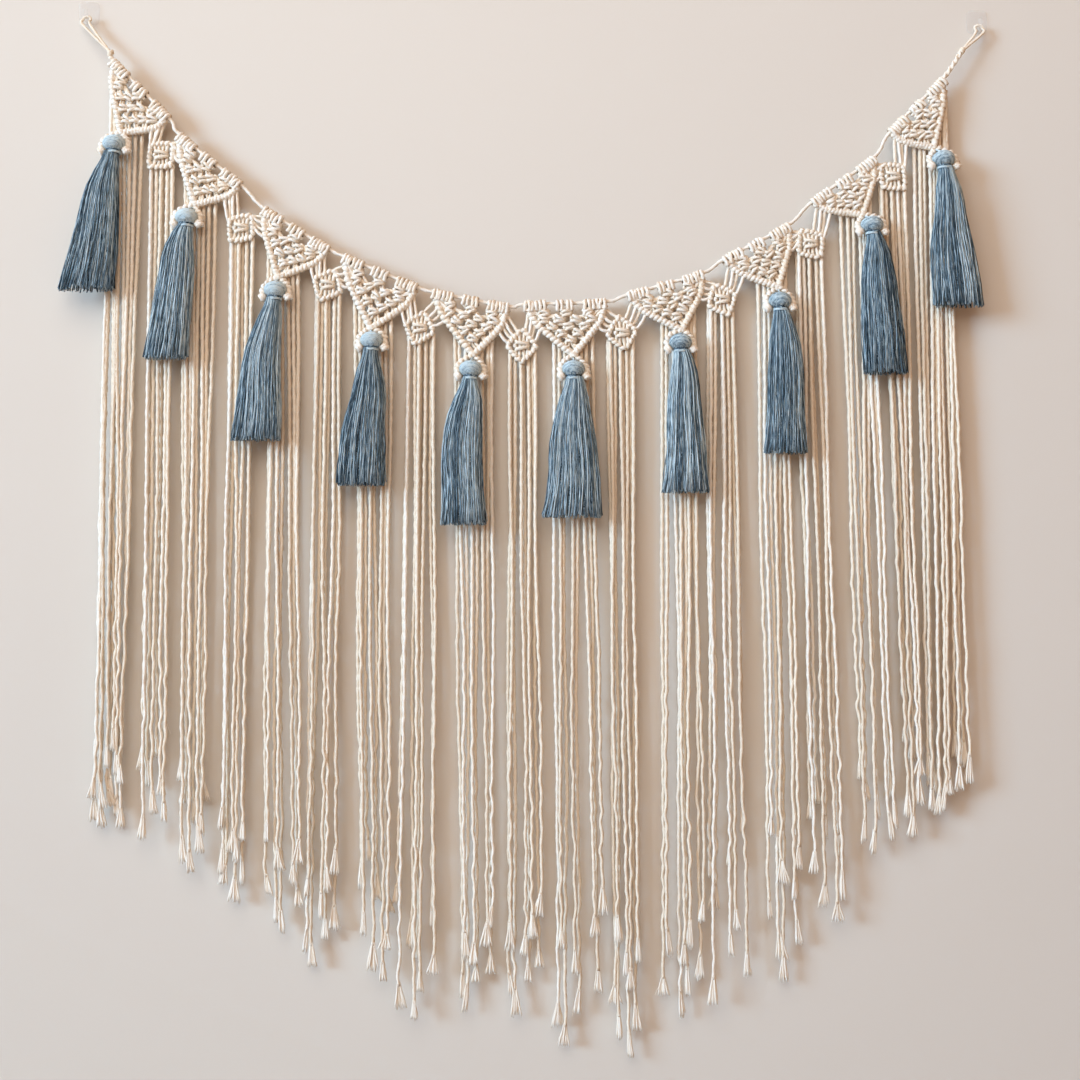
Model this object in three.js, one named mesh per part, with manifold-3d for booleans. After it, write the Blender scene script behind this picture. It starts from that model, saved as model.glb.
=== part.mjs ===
// A macrame garland: ten knotted pennants with yarn tassels, and nine small diamonds between them, worked
// on one carrier cord that hangs as a swag from two wall hooks and ends below in a long cord fringe.
// Millimetres. +X is right, +Y goes into the wall and +Z is up. The wall is the plane y = 0, and the origin
// lies on it midway between the two hooks, 5.5 mm below the mean height of their seats.

import * as THREE from "three";
import { mergeVertices } from "three/addons/utils/BufferGeometryUtils.js";
import Module from "manifold-3d";

const wasm = await Module();
wasm.setup();

// Cord sizes and the layers in which the garland hangs in front of the wall
const CORD_RADIUS = 2;
const LOOP_RADIUS = 1.6;
const STRAND_RADIUS = 2.2;
const GAP = 0.3;
const KNOT_Y = -15;
const RING_Y = -17;
const FRINGE_Y = [-6.5, -11];
const TASSEL_Y = -25;

// Wall hooks: an adhesive plate with a narrow J at its foot, which the cord's end loop sits in
const HOOKS = [
  { name: "hook_left", x: -457, seat: 10, knot: [-430, -29] },
  { name: "hook_right", x: 457, seat: 1, knot: [437, -27] },
];
const PLATE_WIDTH = 21;
const PLATE_THICKNESS = 2;
const PLATE_BELOW_SEAT = 4;
const PLATE_ABOVE_SEAT = 20;
const PLATE_CORNER = 3;
const JAY_WIDTH = 4.4;
const JAY_THICKNESS = 3;
const JAY_REACH = 14;
const JAY_LIP = 8;
// The end loop over the J, from its top down one side: how far past the J's flank, how far in front of the
// wall and how far below the loop's top
const LOOP_PATH = [
  { out: 1, y: -7, drop: 0 },
  { out: 3, y: -7, drop: 2.9 },
  { out: 3, y: -8, drop: 8.5 },
];
const KNOT_RADIUS = 4.2;

// Pennants from left to right: top corners on the carrier and lower point, as x and z
const PENNANTS = [
  { left: [-426, -38], right: [-370, -96], point: [-418, -112] },
  { left: [-358, -114], right: [-296, -165], point: [-342, -186] },
  { left: [-271, -190], right: [-206, -231], point: [-257, -260] },
  { left: [-190, -239], right: [-117, -270], point: [-163, -312] },
  { left: [-100, -275], right: [-25, -290], point: [-60, -339] },
  { left: [-8, -288], right: [73, -285], point: [41, -339] },
  { left: [96, -278], right: [171, -256], point: [150, -314] },
  { left: [193, -242], right: [258, -207], point: [248, -270] },
  { left: [283, -183], right: [345, -138], point: [334, -196] },
  { left: [363, -111], right: [416, -57], point: [407, -127] },
];

// Their tassels: middle of the head, middle of the foot and the foot's width
const TASSELS = [
  { head: [-422, -126], foot: [-444, -274], width: 58 },
  { head: [-348, -201], foot: [-363, -343], width: 49 },
  { head: [-258, -275], foot: [-272, -425], width: 53 },
  { head: [-161, -326], foot: [-168, -470], width: 52 },
  { head: [-62, -355], foot: [-67, -509], width: 51 },
  { head: [41, -355], foot: [40, -502], width: 62 },
  { head: [148, -328], foot: [154, -477], width: 51 },
  { head: [248, -286], foot: [253, -438], width: 46 },
  { head: [341, -209], foot: [352, -358], width: 50 },
  { head: [414, -142], foot: [425, -290], width: 55 },
];

// Diamonds from left to right, by the middle of each
const DIAMONDS = [
  { x: -377, z: -135 },
  { x: -295, z: -210 },
  { x: -207, z: -268 },
  { x: -114, z: -312 },
  { x: -11, z: -330 },
  { x: 90, z: -317 },
  { x: 191, z: -283 },
  { x: 281, z: -226 },
  { x: 365, z: -157 },
];
const DIAMOND_HALF = { x: 14.5, z: 16 };
const DIAMOND_ROUND = 1.3;
const RIM_TUBE = 3.6;
const RIM_RIDGES = 6;
const RIM_RIDGE = { valley: 0.9, peak: 1.1 };
const RIM_CROSS = 2.4;

// Fringe groups: middle and width of the row of feet, heights of the shortest and the longest end,
// and which strand is the longest
const PENNANT_FRINGE = [
  { x: -415, spread: 15, short: -735, long: -815, longest: 6 },
  { x: -338, spread: 26, short: -764, long: -854, longest: 3 },
  { x: -248.5, spread: 37, short: -826, long: -915, longest: 4 },
  { x: -156, spread: 32, short: -843, long: -963, longest: 5 },
  { x: -54.5, spread: 35, short: -910, long: -986, longest: 2 },
  { x: 46, spread: 52, short: -890, long: -1025, longest: 2 },
  { x: 149.5, spread: 41, short: -905, long: -992, longest: 2 },
  { x: 248, spread: 32, short: -822, long: -958, longest: 4 },
  { x: 341, spread: 38, short: -767, long: -835, longest: 3 },
  { x: 403, spread: 23, short: -760, long: -799, longest: 3 },
];
const DIAMOND_FRINGE = [
  { x: -376, spread: 28, short: -724, long: -821, longest: 1 },
  { x: -296.5, spread: 21, short: -813, long: -881, longest: 4 },
  { x: -208, spread: 32, short: -852, long: -947, longest: 2 },
  { x: -115, spread: 38, short: -890, long: -1001, longest: 3 },
  { x: -6.5, spread: 37, short: -897, long: -989, longest: 2 },
  { x: 93, spread: 22, short: -918, long: -1033, longest: 4 },
  { x: 194, spread: 38, short: -815, long: -978, longest: 1 },
  { x: 290.5, spread: 37, short: -783, long: -905, longest: 5 },
  { x: 377.5, spread: 17, short: -682, long: -819, longest: 3 },
];
const END_FRINGE = {
  left: { x: -432, spread: 9, short: -773, long: -808, longest: 2 },
  right: { x: 427, spread: 14, short: -725, long: -773, longest: 1 },
};
const FRINGE_COUNT = 8;
// Each strand's share of the way up from the longest end to the shortest, counted on from the longest
const SHORTFALL = [0, 0.55, 0.25, 0.8, 0.4, 1, 0.15, 0.7];
const ROOT_RADIUS = 1.2;
const STRIP = { wide: 2, thick: 1.3 };
const END_STRIP = { share: 0.14, near: 1, far: 14, drop: 6, count: 4 };

// A pennant's own plan: u runs along the carrier from the pennant's middle, in millimetres, and v is the
// share of the way down to its point
const HALF_WIDTH = 39;
const HITCH_RADIUS = { valley: 3.6, peak: 5 };
const HITCH_HALF = 4;
const HITCH_GROUPS = [
  [-35, -27, -19],
  [-4, 4],
  [19, 27, 35],
];
// Pairs of strands that cross the net from left to right: the hitch each starts from and where it meets the
// right edge bar. Those from right to left are their mirror image and lie a little thinner.
const NET_PAIRS = [
  { hitch: -35, end: [4, 0.91] },
  { hitch: -27, end: [14, 0.68] },
  { hitch: 4, end: [25, 0.46] },
];
const NET_WIDE = 3;
const NET_THICK = { over: 2.5, under: 2 };
// The edge bar's line, with the number of ridges on the stretch that starts at each place
const EDGE_BAR = [
  { u: 37, v: 0.06, ridges: 2 },
  { u: 29, v: 0.36, ridges: 2 },
  { u: 15, v: 0.66, ridges: 2 },
  { u: 0, v: 1 },
];
const EDGE_WIDE = 3;
const EDGE_BACK = 2.6;
const EDGE_FRONT = 2.6;
const EDGE_RIDGE = {
  valley: { swell: 0, front: 2.4 },
  peak: { swell: 1, front: 4.2 },
};
// Half of the ring, from the middle of the tassel's head: out to the side and up
const RING_PATH = [
  [10, 7],
  [15.5, -2],
  [10.5, -13],
];
const RING_HALF = 2.2;
// The strands that a pennant shares with the diamond beside it: where each leaves the edge bar and, in
// quarter turns from the top, where it meets the rim
const LEAF_SHARES = [0.08, 0.2, 0.32, 0.44];
const LEAF_TURNS = [0.16, 0.43, 0.59, 0.83];
const LEAF_RADIUS = 2;
// Where the fringe starts along the edge bars, and where its strip ends there and on a rim
const FRINGE_SHARES = [0.58, 0.7, 0.82, 0.94];
const STRIP_SHARE = 0.5;
const RIM_STRIP_TURNS = [0.54, 0.75, 0.96];

// Tassel: a wound head and a skirt of locks in two rows
const HEAD_PROFILE = [
  [0, 9],
  [7, 8],
  [11, 3],
  [10.5, -4],
  [8, -9],
  [0, -9],
];
const HEAD_SIDES = 6;
const NECK_DROP = 8;
const TIE_RADIUS = 2.4;
const TIE_Y = -20.2;
const LOCK_ROWS = [
  { count: 6, share: 1, neckY: -2.5, footY: -5, neckStep: 2 },
  { count: 4, share: 0.8, neckY: 2.2, footY: 3, neckStep: 2.2 },
];
const LOCK_SHOULDER = 28;
const LOCK_SHOULDER_SHARE = 0.74;
const LOCK_NECK_RADIUS = 1;
const LOCK_FILL = 0.54;

const COTTON = new THREE.MeshStandardMaterial({ color: "#e8dfd0", roughness: 0.95, metalness: 0 });
const YARN = new THREE.MeshStandardMaterial({ color: "#7c9bb0", roughness: 0.85, metalness: 0 });
const PLASTIC = new THREE.MeshStandardMaterial({ color: "#dfe4e6", roughness: 0.25, metalness: 0 });

// Solids from closed geometries, and geometries from solids
function solid(geometry) {
  geometry.deleteAttribute("normal");
  geometry.deleteAttribute("uv");
  const merged = mergeVertices(geometry, 1e-4);
  const vertProperties = new Float32Array(merged.attributes.position.array);
  const triVerts = new Uint32Array(merged.index.array);
  return new wasm.Manifold(new wasm.Mesh({ numProp: 3, vertProperties, triVerts }));
}

function join(solids) {
  return solids.reduce((all, one) => all.add(one));
}

function piece(name, shape, material) {
  const mesh = shape.getMesh();
  const geometry = new THREE.BufferGeometry();
  geometry.setAttribute("position", new THREE.BufferAttribute(mesh.vertProperties, 3));
  geometry.setIndex(new THREE.BufferAttribute(mesh.triVerts, 1));
  geometry.computeVertexNormals();
  const made = new THREE.Mesh(geometry, material);
  made.name = name;
  return made;
}

// A bar that passes through a list of stations, each with its centre and the corners of its section there.
// A corner has its distance across the path, in the plane of the wall, and its distance towards the wall.
// With a heading, all sections lie square to that direction instead of square to the path.
function bar(stations, heading) {
  const sides = stations[0].corners.length;
  const last = stations.length - 1;
  const section = new THREE.Shape(round(sides, 1).map(([x, y]) => new THREE.Vector2(x, y)));
  const geometry = new THREE.ExtrudeGeometry(section, { depth: last, steps: last, bevelEnabled: false });
  const intoWall = new THREE.Vector3(0, 1, 0);
  const frames = stations.map((place, i) => {
    const before = stations[Math.max(i - 1, 0)].centre;
    const after = stations[Math.min(i + 1, last)].centre;
    const tangent = heading ?? after.clone().sub(before).normalize();
    const across = intoWall.clone().cross(tangent).normalize();
    return { across, back: tangent.clone().cross(across) };
  });
  const points = geometry.attributes.position;
  for (let i = 0; i < points.count; i += 1) {
    const k = Math.round(points.getZ(i));
    const turn = Math.atan2(points.getY(i), points.getX(i)) + Math.PI / 2;
    const corner = (Math.round((turn * sides) / (2 * Math.PI)) + sides) % sides;
    const [across, back] = stations[k].corners[corner];
    const moved = stations[k].centre.clone();
    moved.addScaledVector(frames[k].across, across);
    moved.addScaledVector(frames[k].back, back);
    points.setXYZ(i, moved.x, moved.y, moved.z);
  }
  return solid(geometry);
}

// Sections: a regular one that starts at the front, and a flat one
function round(sides, radius) {
  const corners = [];
  for (let i = 0; i < sides; i += 1) {
    const angle = (2 * Math.PI * i) / sides - Math.PI / 2;
    corners.push([radius * Math.cos(angle), radius * Math.sin(angle)]);
  }
  return corners;
}

function flat(wide, thick) {
  return [
    [-wide, -thick],
    [wide, -thick],
    [wide, thick],
    [-wide, thick],
  ];
}

function at(centre, corners) {
  return { centre, corners };
}

function vec(x, y, z) {
  return new THREE.Vector3(x, y, z);
}

const DOWN = vec(0, 0, -1);
const UP = vec(0, 0, 1);

// The carrier runs through the pennants' top corners, from one end knot to the other
const CARRIER_POINTS = [HOOKS[0].knot];
PENNANTS.forEach(({ left, right }) => CARRIER_POINTS.push(left, right));
CARRIER_POINTS.push(HOOKS[1].knot);
const CARRIER = new THREE.CatmullRomCurve3(
  CARRIER_POINTS.map(([x, z]) => vec(x, KNOT_Y, z)),
  false,
  "catmullrom",
);

function onCarrier(index, u) {
  const span = 2 * index + 1 + (u + HALF_WIDTH) / (2 * HALF_WIDTH);
  return CARRIER.getPoint(span / (CARRIER_POINTS.length - 1));
}

// A place in a pennant's plan, carried over to where that pennant hangs
function onPennant(index, u, v) {
  const [x, z] = PENNANTS[index].point;
  const drop = vec(x, KNOT_Y, z).sub(onCarrier(index, 0));
  return onCarrier(index, u).addScaledVector(drop, v);
}

// A place on a pennant's edge bar, by its share of the bar's stretches from the carrier to the point
function onEdge(index, side, share) {
  const spot = share * (EDGE_BAR.length - 1);
  const first = Math.min(Math.floor(spot), EDGE_BAR.length - 2);
  const [from, to] = [EDGE_BAR[first], EDGE_BAR[first + 1]];
  const start = onPennant(index, side * from.u, from.v);
  return start.lerp(onPennant(index, side * to.u, to.v), spot - first);
}

// Heading: the carrier with its groups of lark's head knots, and a knotted loop at each end
function carrier() {
  const bare = round(4, CORD_RADIUS);
  const stations = [at(CARRIER.getPoint(0), bare)];
  PENNANTS.forEach((row, index) => {
    HITCH_GROUPS.forEach((hitches) => {
      stations.push(at(onCarrier(index, hitches[0] - HITCH_HALF), bare));
      hitches.forEach((u, i) => {
        const ends = i === hitches.length - 1;
        stations.push(at(onCarrier(index, u), round(4, HITCH_RADIUS.peak)));
        stations.push(at(onCarrier(index, u + HITCH_HALF), ends ? bare : round(4, HITCH_RADIUS.valley)));
      });
    });
  });
  stations.push(at(CARRIER.getPoint(1), bare));
  return bar(stations);
}

// A plain tube round the heading, which the pennants keep out of
function carrierRoom() {
  const section = flat(HITCH_RADIUS.peak + GAP, HITCH_RADIUS.peak + GAP);
  const stations = [];
  PENNANTS.forEach((row, index) => {
    [-1, -0.5, 0, 0.5, 1].forEach((share) => {
      stations.push(at(onCarrier(index, share * HALF_WIDTH), section));
    });
  });
  return bar(stations);
}

function endLoop({ x, seat, knot }) {
  const floor = seat + GAP + LOOP_RADIUS;
  const flank = JAY_WIDTH / 2;
  const places = LOOP_PATH.map(({ out, y, drop }) => vec(x + flank + out, y, floor - drop));
  LOOP_PATH.forEach(({ out, y, drop }) => places.unshift(vec(x - flank - out, y, floor - drop)));
  const middle = vec(knot[0], KNOT_Y, knot[1]);
  const loop = bar([middle, ...places, middle].map((place) => at(place, round(4, LOOP_RADIUS))));
  const lump = new THREE.IcosahedronGeometry(KNOT_RADIUS, 0);
  lump.translate(middle.x, middle.y, middle.z);
  return loop.add(solid(lump));
}

// Fringe: a narrow strip behind the knots, and strands from it down to a row of feet, in two layers
const BEHIND_BAR = KNOT_Y + EDGE_BACK + GAP + STRIP.thick;
const BEHIND_RIM = KNOT_Y + RIM_TUBE * RIM_RIDGE.peak * Math.SQRT1_2 + GAP + STRIP.thick;

function fringe(strip, roots, { x, spread, short, long, longest }) {
  const backing = bar(strip.map((place) => at(place, flat(STRIP.wide, STRIP.thick))));
  const strands = roots.map((root, k) => {
    const footX = x + spread * (k / (roots.length - 1) - 0.5);
    const footZ = long + (short - long) * SHORTFALL[(k - longest + SHORTFALL.length) % SHORTFALL.length];
    const foot = vec(footX, FRINGE_Y[k % FRINGE_Y.length], footZ);
    return bar([at(root, round(3, ROOT_RADIUS)), at(foot, round(3, STRAND_RADIUS))], DOWN);
  });
  return join([backing, ...strands]);
}

function pennantFringe(index) {
  const place = (side, share) => onEdge(index, side, share).setY(BEHIND_BAR);
  const strip = [place(-1, STRIP_SHARE), place(1, 1), place(1, STRIP_SHARE)];
  const roots = FRINGE_SHARES.map((share) => place(-1, share));
  [...FRINGE_SHARES].reverse().forEach((share) => roots.push(place(1, share)));
  return fringe(strip, roots, PENNANT_FRINGE[index]);
}

function endFringe(index, side, row) {
  const root = onEdge(index, side, END_STRIP.share);
  const near = vec(root.x + side * END_STRIP.near, BEHIND_BAR, root.z);
  const far = vec(root.x + side * END_STRIP.far, BEHIND_BAR, root.z - END_STRIP.drop);
  const strip = side > 0 ? [near, far] : [far, near];
  const roots = [];
  for (let k = 0; k < END_STRIP.count; k += 1) {
    roots.push(strip[0].clone().lerp(strip[1], (k + 0.5) / END_STRIP.count));
  }
  return fringe(strip, roots, row);
}

function diamondFringe(index) {
  const strip = RIM_STRIP_TURNS.map((turns) => onRim(index, turns * 2 * Math.PI).setY(BEHIND_RIM));
  const roots = [];
  for (let k = 0; k < FRINGE_COUNT; k += 1) {
    const share = (k + 0.5) / FRINGE_COUNT;
    const half = share < 0.5 ? [strip[0], strip[1], share * 2] : [strip[1], strip[2], share * 2 - 1];
    roots.push(half[0].clone().lerp(half[1], half[2]));
  }
  return fringe(strip, roots, DIAMOND_FRINGE[index]);
}

// Pennant: a net of crossing strand pairs between two ridged edge bars, which meet at the point and go on
// as a ring round the tassel's head
function netPair(index, { hitch, end }, side) {
  const section = flat(NET_WIDE, side > 0 ? NET_THICK.over : NET_THICK.under);
  const ends = [onPennant(index, side * hitch, 0), onPennant(index, side * end[0], end[1])];
  return bar(ends.map((place) => at(place, section)));
}

// The edge bar's section: flat on the net's side and at the back, ridged at its outer front corner
function edgeSection(side, { swell, front }) {
  const ridge = EDGE_WIDE + swell;
  const [first, second] = side > 0 ? [-ridge, EDGE_WIDE] : [-EDGE_WIDE, ridge];
  return [
    [first, side > 0 ? -front : -EDGE_FRONT],
    [second, side > 0 ? -EDGE_FRONT : -front],
    [EDGE_WIDE, EDGE_BACK],
    [-EDGE_WIDE, EDGE_BACK],
  ];
}

// An edge bar, which crosses the other one at the point and goes on round the far side of the tassel's head
function edgeBar(index, side) {
  const stations = [];
  EDGE_BAR.slice(0, -1).forEach(({ ridges }, stretch) => {
    for (let i = 0; i < 2 * ridges; i += 1) {
      const share = (stretch + i / (2 * ridges)) / (EDGE_BAR.length - 1);
      const section = edgeSection(side, i % 2 ? EDGE_RIDGE.peak : EDGE_RIDGE.valley);
      stations.push(at(onEdge(index, side, share), section));
    }
  });
  const ring = flat(RING_HALF, RING_HALF);
  stations.push(at(onEdge(index, side, 1), ring));
  const { head } = TASSELS[index];
  RING_PATH.forEach(([x, z]) => stations.push(at(vec(head[0] - side * x, RING_Y, head[1] + z), ring)));
  return bar(stations);
}

// A plain bar round each edge bar, which the diamonds keep out of
function edgeRoom(index, side) {
  const section = flat(EDGE_WIDE + EDGE_RIDGE.peak.swell + GAP, EDGE_RIDGE.peak.front + GAP);
  return bar(EDGE_BAR.map(({ u, v }) => at(onPennant(index, side * u, v), section)));
}

function pennant(index) {
  const pairs = NET_PAIRS.flatMap((pair) => [netPair(index, pair, 1), netPair(index, pair, -1)]);
  return join([edgeBar(index, -1), edgeBar(index, 1), ...pairs]);
}

// Diamond: a ridged rim with a square knot across its middle, hung by four strands from each neighbour
function onRim(index, angle) {
  const { x, z } = DIAMONDS[index];
  const cos = Math.cos(angle);
  const sin = Math.sin(angle);
  const across = Math.abs(cos / DIAMOND_HALF.x) ** DIAMOND_ROUND;
  const up = Math.abs(sin / DIAMOND_HALF.z) ** DIAMOND_ROUND;
  const reach = (across + up) ** (-1 / DIAMOND_ROUND);
  return vec(x + reach * cos, KNOT_Y, z + reach * sin);
}

function rim(index) {
  const steps = 2 * RIM_RIDGES;
  const geometry = new THREE.TorusGeometry(1, 0.5, 4, steps);
  const points = geometry.attributes.position;
  for (let i = 0; i < points.count; i += 1) {
    const angle = Math.atan2(points.getY(i), points.getX(i));
    const peak = Math.round((angle * steps) / (2 * Math.PI)) % 2 !== 0;
    const tube = 2 * RIM_TUBE * (peak ? RIM_RIDGE.peak : RIM_RIDGE.valley);
    const section = new THREE.Vector2(Math.hypot(points.getX(i), points.getY(i)) - 1, points.getZ(i));
    section.rotateAround(new THREE.Vector2(), Math.PI / 4).multiplyScalar(tube);
    const place = onRim(index, angle);
    place.x += section.x * Math.cos(angle);
    place.z += section.x * Math.sin(angle);
    place.y -= section.y;
    points.setXYZ(i, place.x, place.y, place.z);
  }
  return solid(geometry);
}

function diamond(index) {
  const quarter = Math.PI / 2;
  const solids = [rim(index)];
  [0.5, 1.5].forEach((turns, i) => {
    const section = flat(RIM_CROSS, i ? NET_THICK.over : NET_THICK.under);
    const ends = [turns * quarter, (turns + 2) * quarter].map((angle) => onRim(index, angle));
    solids.push(bar(ends.map((end) => at(end, section))));
  });
  [1, -1].forEach((side) => {
    LEAF_SHARES.forEach((share, i) => {
      const from = onEdge(side > 0 ? index : index + 1, side, share);
      const to = onRim(index, quarter * (1 + side * LEAF_TURNS[i]));
      solids.push(bar([at(from, round(3, LEAF_RADIUS)), at(to, round(3, LEAF_RADIUS))]));
    });
  });
  return join(solids);
}

// Tassel: a wound head, a tie up to the front of the pennant's point, and locks that flare to the foot
function tassel(index) {
  const { head, foot, width } = TASSELS[index];
  const { point } = PENNANTS[index];
  const profile = HEAD_PROFILE.map(([r, z]) => new THREE.Vector2(r, z)).reverse();
  const winding = new THREE.LatheGeometry(profile, HEAD_SIDES);
  winding.rotateX(Math.PI / 2);
  winding.translate(head[0], TASSEL_Y, head[1]);
  const ends = [vec(head[0], TASSEL_Y, head[1]), vec(point[0], TIE_Y, point[1])];
  const tie = bar(ends.map((place) => at(place, round(3, TIE_RADIUS))), UP);
  const solids = [solid(winding), tie];
  const neck = head[1] - NECK_DROP;
  const lean = (foot[0] - head[0]) / (foot[1] - neck);
  LOCK_ROWS.forEach(({ count, share, neckY, footY, neckStep }) => {
    const footStep = (width * share) / count;
    const shoulderStep = footStep * LOCK_SHOULDER_SHARE;
    const shoulderX = head[0] - lean * LOCK_SHOULDER;
    for (let i = 0; i < count; i += 1) {
      const off = i - (count - 1) / 2;
      const y = TASSEL_Y + footY;
      solids.push(bar([
        at(vec(head[0] + off * neckStep, TASSEL_Y + neckY, neck), round(3, LOCK_NECK_RADIUS)),
        at(vec(shoulderX + off * shoulderStep, y, neck - LOCK_SHOULDER), round(3, LOCK_FILL * shoulderStep)),
        at(vec(foot[0] + off * footStep, y, foot[1]), round(3, LOCK_FILL * footStep)),
      ], DOWN));
    }
  });
  return join(solids);
}

// Hook: a rounded plate flat on the wall, with the J standing out of it
function hook({ x, seat }) {
  const half = PLATE_WIDTH / 2;
  const low = seat - PLATE_BELOW_SEAT;
  const high = seat + PLATE_ABOVE_SEAT;
  const plan = [
    [x - half + PLATE_CORNER, low],
    [x + half - PLATE_CORNER, low],
    [x + half, low + PLATE_CORNER],
    [x + half, high - PLATE_CORNER],
    [x + half - PLATE_CORNER, high],
    [x - half + PLATE_CORNER, high],
    [x - half, high - PLATE_CORNER],
    [x - half, low + PLATE_CORNER],
  ];
  const outline = new THREE.Shape(plan.map(([px, pz]) => new THREE.Vector2(px, pz)));
  const plate = new THREE.ExtrudeGeometry(outline, { depth: PLATE_THICKNESS, bevelEnabled: false });
  plate.rotateX(Math.PI / 2);
  const lip = [
    [-PLATE_THICKNESS / 2, seat],
    [-PLATE_THICKNESS / 2, seat - JAY_THICKNESS],
    [-JAY_REACH, seat - JAY_THICKNESS],
    [-JAY_REACH, seat + JAY_LIP],
    [-JAY_REACH + JAY_THICKNESS, seat + JAY_LIP],
    [-JAY_REACH + JAY_THICKNESS, seat],
  ];
  const side = new THREE.Shape(lip.map(([py, pz]) => new THREE.Vector2(py, pz)));
  const jay = new THREE.ExtrudeGeometry(side, { depth: JAY_WIDTH, bevelEnabled: false });
  jay.rotateX(Math.PI / 2);
  jay.rotateZ(Math.PI / 2);
  jay.translate(x - JAY_WIDTH / 2, 0, 0);
  return solid(plate).add(solid(jay));
}

// The whole garland
const group = new THREE.Group();
const number = (index) => String(index + 1).padStart(2, "0");
const add = (name, shape, material) => group.add(piece(name, shape, material));
const headingRoom = carrierRoom();
add("heading_cord", join([carrier(), ...HOOKS.map(endLoop)]), COTTON);
PENNANTS.forEach((row, index) => {
  add(`pennant_${number(index)}`, pennant(index).subtract(headingRoom), COTTON);
  add(`pennant_fringe_${number(index)}`, pennantFringe(index), COTTON);
  add(`tassel_${number(index)}`, tassel(index), YARN);
});
DIAMONDS.forEach((row, index) => {
  const room = edgeRoom(index, 1).add(edgeRoom(index + 1, -1));
  add(`diamond_${number(index)}`, diamond(index).subtract(room), COTTON);
  add(`diamond_fringe_${number(index)}`, diamondFringe(index), COTTON);
});
add("end_fringe_left", endFringe(0, -1, END_FRINGE.left), COTTON);
add("end_fringe_right", endFringe(PENNANTS.length - 1, 1, END_FRINGE.right), COTTON);
HOOKS.forEach((row) => add(row.name, hook(row), PLASTIC));

export default group;
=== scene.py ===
# %% [markdown]
# # A macrame garland on two wall hooks
# Ten knotted pennants and nine small diamonds are worked on one carrier cord, which hangs as a swag. Blue
# yarn tassels hang from the pennants' points, and long cords hang down from all the knots. The solid model
# gives the places of everything. This lesson works the real cords: each knot is a path through space, and a
# twisted section is carried along it. Every piece has its own seed, so it comes out the same each time.

# %% Load the fixed frame
import bpy
import numpy as np
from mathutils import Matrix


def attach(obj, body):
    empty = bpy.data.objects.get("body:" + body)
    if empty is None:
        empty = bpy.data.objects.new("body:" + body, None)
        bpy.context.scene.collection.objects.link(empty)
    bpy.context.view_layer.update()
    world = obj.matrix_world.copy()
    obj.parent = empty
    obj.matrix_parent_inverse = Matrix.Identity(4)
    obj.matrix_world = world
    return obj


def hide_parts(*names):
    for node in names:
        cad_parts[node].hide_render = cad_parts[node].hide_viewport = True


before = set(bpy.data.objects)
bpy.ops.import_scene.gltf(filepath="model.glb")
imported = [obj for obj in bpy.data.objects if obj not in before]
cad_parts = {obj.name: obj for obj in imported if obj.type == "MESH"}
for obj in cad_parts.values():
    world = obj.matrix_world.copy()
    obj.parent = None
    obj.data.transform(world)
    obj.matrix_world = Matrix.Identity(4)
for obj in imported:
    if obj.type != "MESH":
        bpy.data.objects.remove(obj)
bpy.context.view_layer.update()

MM = 0.001

# %% [markdown]
# ## Paths
# A cord is a smooth curve through a few places. A Catmull-Rom curve passes through every place that it is
# given, and it is easy to read at many spots at once. It is then cut into even steps, so that the twist of
# the cord runs evenly along it. All lengths are in millimetres until a mesh is made.

# %% Curves and even steps
TO_RIGHT, INTO_WALL, UP = np.eye(3)
READS_PER_SPAN, FEWEST_STATIONS = 10, 3
SHORTEST = 1e-9


def spline(points, spans):
    """Uniform Catmull-Rom curve read at spans, counted in points from the first: half of 2b + (c - a) t + (2a
    - 5b + 4c - d) t^2 + (3b - a - 3c + d) t^3, with a, b, c and d the four points around the span."""
    points = np.asarray(points, float)
    around = np.vstack([2 * points[0] - points[1], points, 2 * points[-1] - points[-2]])
    spans = np.asarray(spans, float)
    first = np.clip(np.floor(spans).astype(int), 0, len(points) - 2)
    t = (spans - first)[..., None]
    a, b, c, d = (around[first + k] for k in range(4))
    return 0.5 * (2 * b + (c - a) * t + (2 * a - 5 * b + 4 * c - d) * t**2 + (3 * b - a - 3 * c + d) * t**3)


def even(points, spacing):
    """The curve through the points, cut into equal steps of about the given spacing along its length."""
    spans = len(points) - 1
    dense = spline(points, np.linspace(0, spans, READS_PER_SPAN * spans + 1))
    walked = np.r_[0, np.cumsum(np.linalg.norm(np.diff(dense, axis=0), axis=1))]
    goal = np.linspace(0, walked[-1], max(int(walked[-1] / spacing) + 1, FEWEST_STATIONS))
    return np.stack([np.interp(goal, walked, axis) for axis in dense.T], axis=1)


def unit(vectors):
    """Each vector divided by its own length."""
    return vectors / np.maximum(np.linalg.norm(vectors, axis=-1, keepdims=True), SHORTEST)


print("a quarter of the way:", spline([[0, 0, 0], [1, 0, 1], [2, 0, 0]], [0.5])[0])

# %% [markdown]
# ## A twisted section carried along many paths
# Cotton cord is a soft twisted strand. A curve object with a round bevel would be quick, but smooth like a
# pipe. Here the section is a ring of points whose radius swells and shrinks a little, and the ring turns as
# it goes along, which leaves shallow grooves that wind round the cord. The ring is kept from spinning by
# carrying a side direction from step to step and taking out what leans along the path. The loop runs over the
# steps only: at each step all cords are worked at once.

# %% Quads over rings
def hoop(first, sides):
    """Quads between rings of points: each ring that starts at a first point, and the ring after it."""
    k = np.arange(sides)
    after = (k + 1) % sides
    corners = [first + k, first + after, first + sides + after, first + sides + k]
    return np.stack(corners, axis=2).reshape(-1, 4)


def fan(sides):
    """Quads over the end of a ring: point 0 with three that follow one another, two points on each time."""
    return np.array([[0, m, m + 1, m + 2] for m in range(1, sides - 2, 2)])


print("a ring of six points is closed by", len(fan(6)), "quads")

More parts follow.
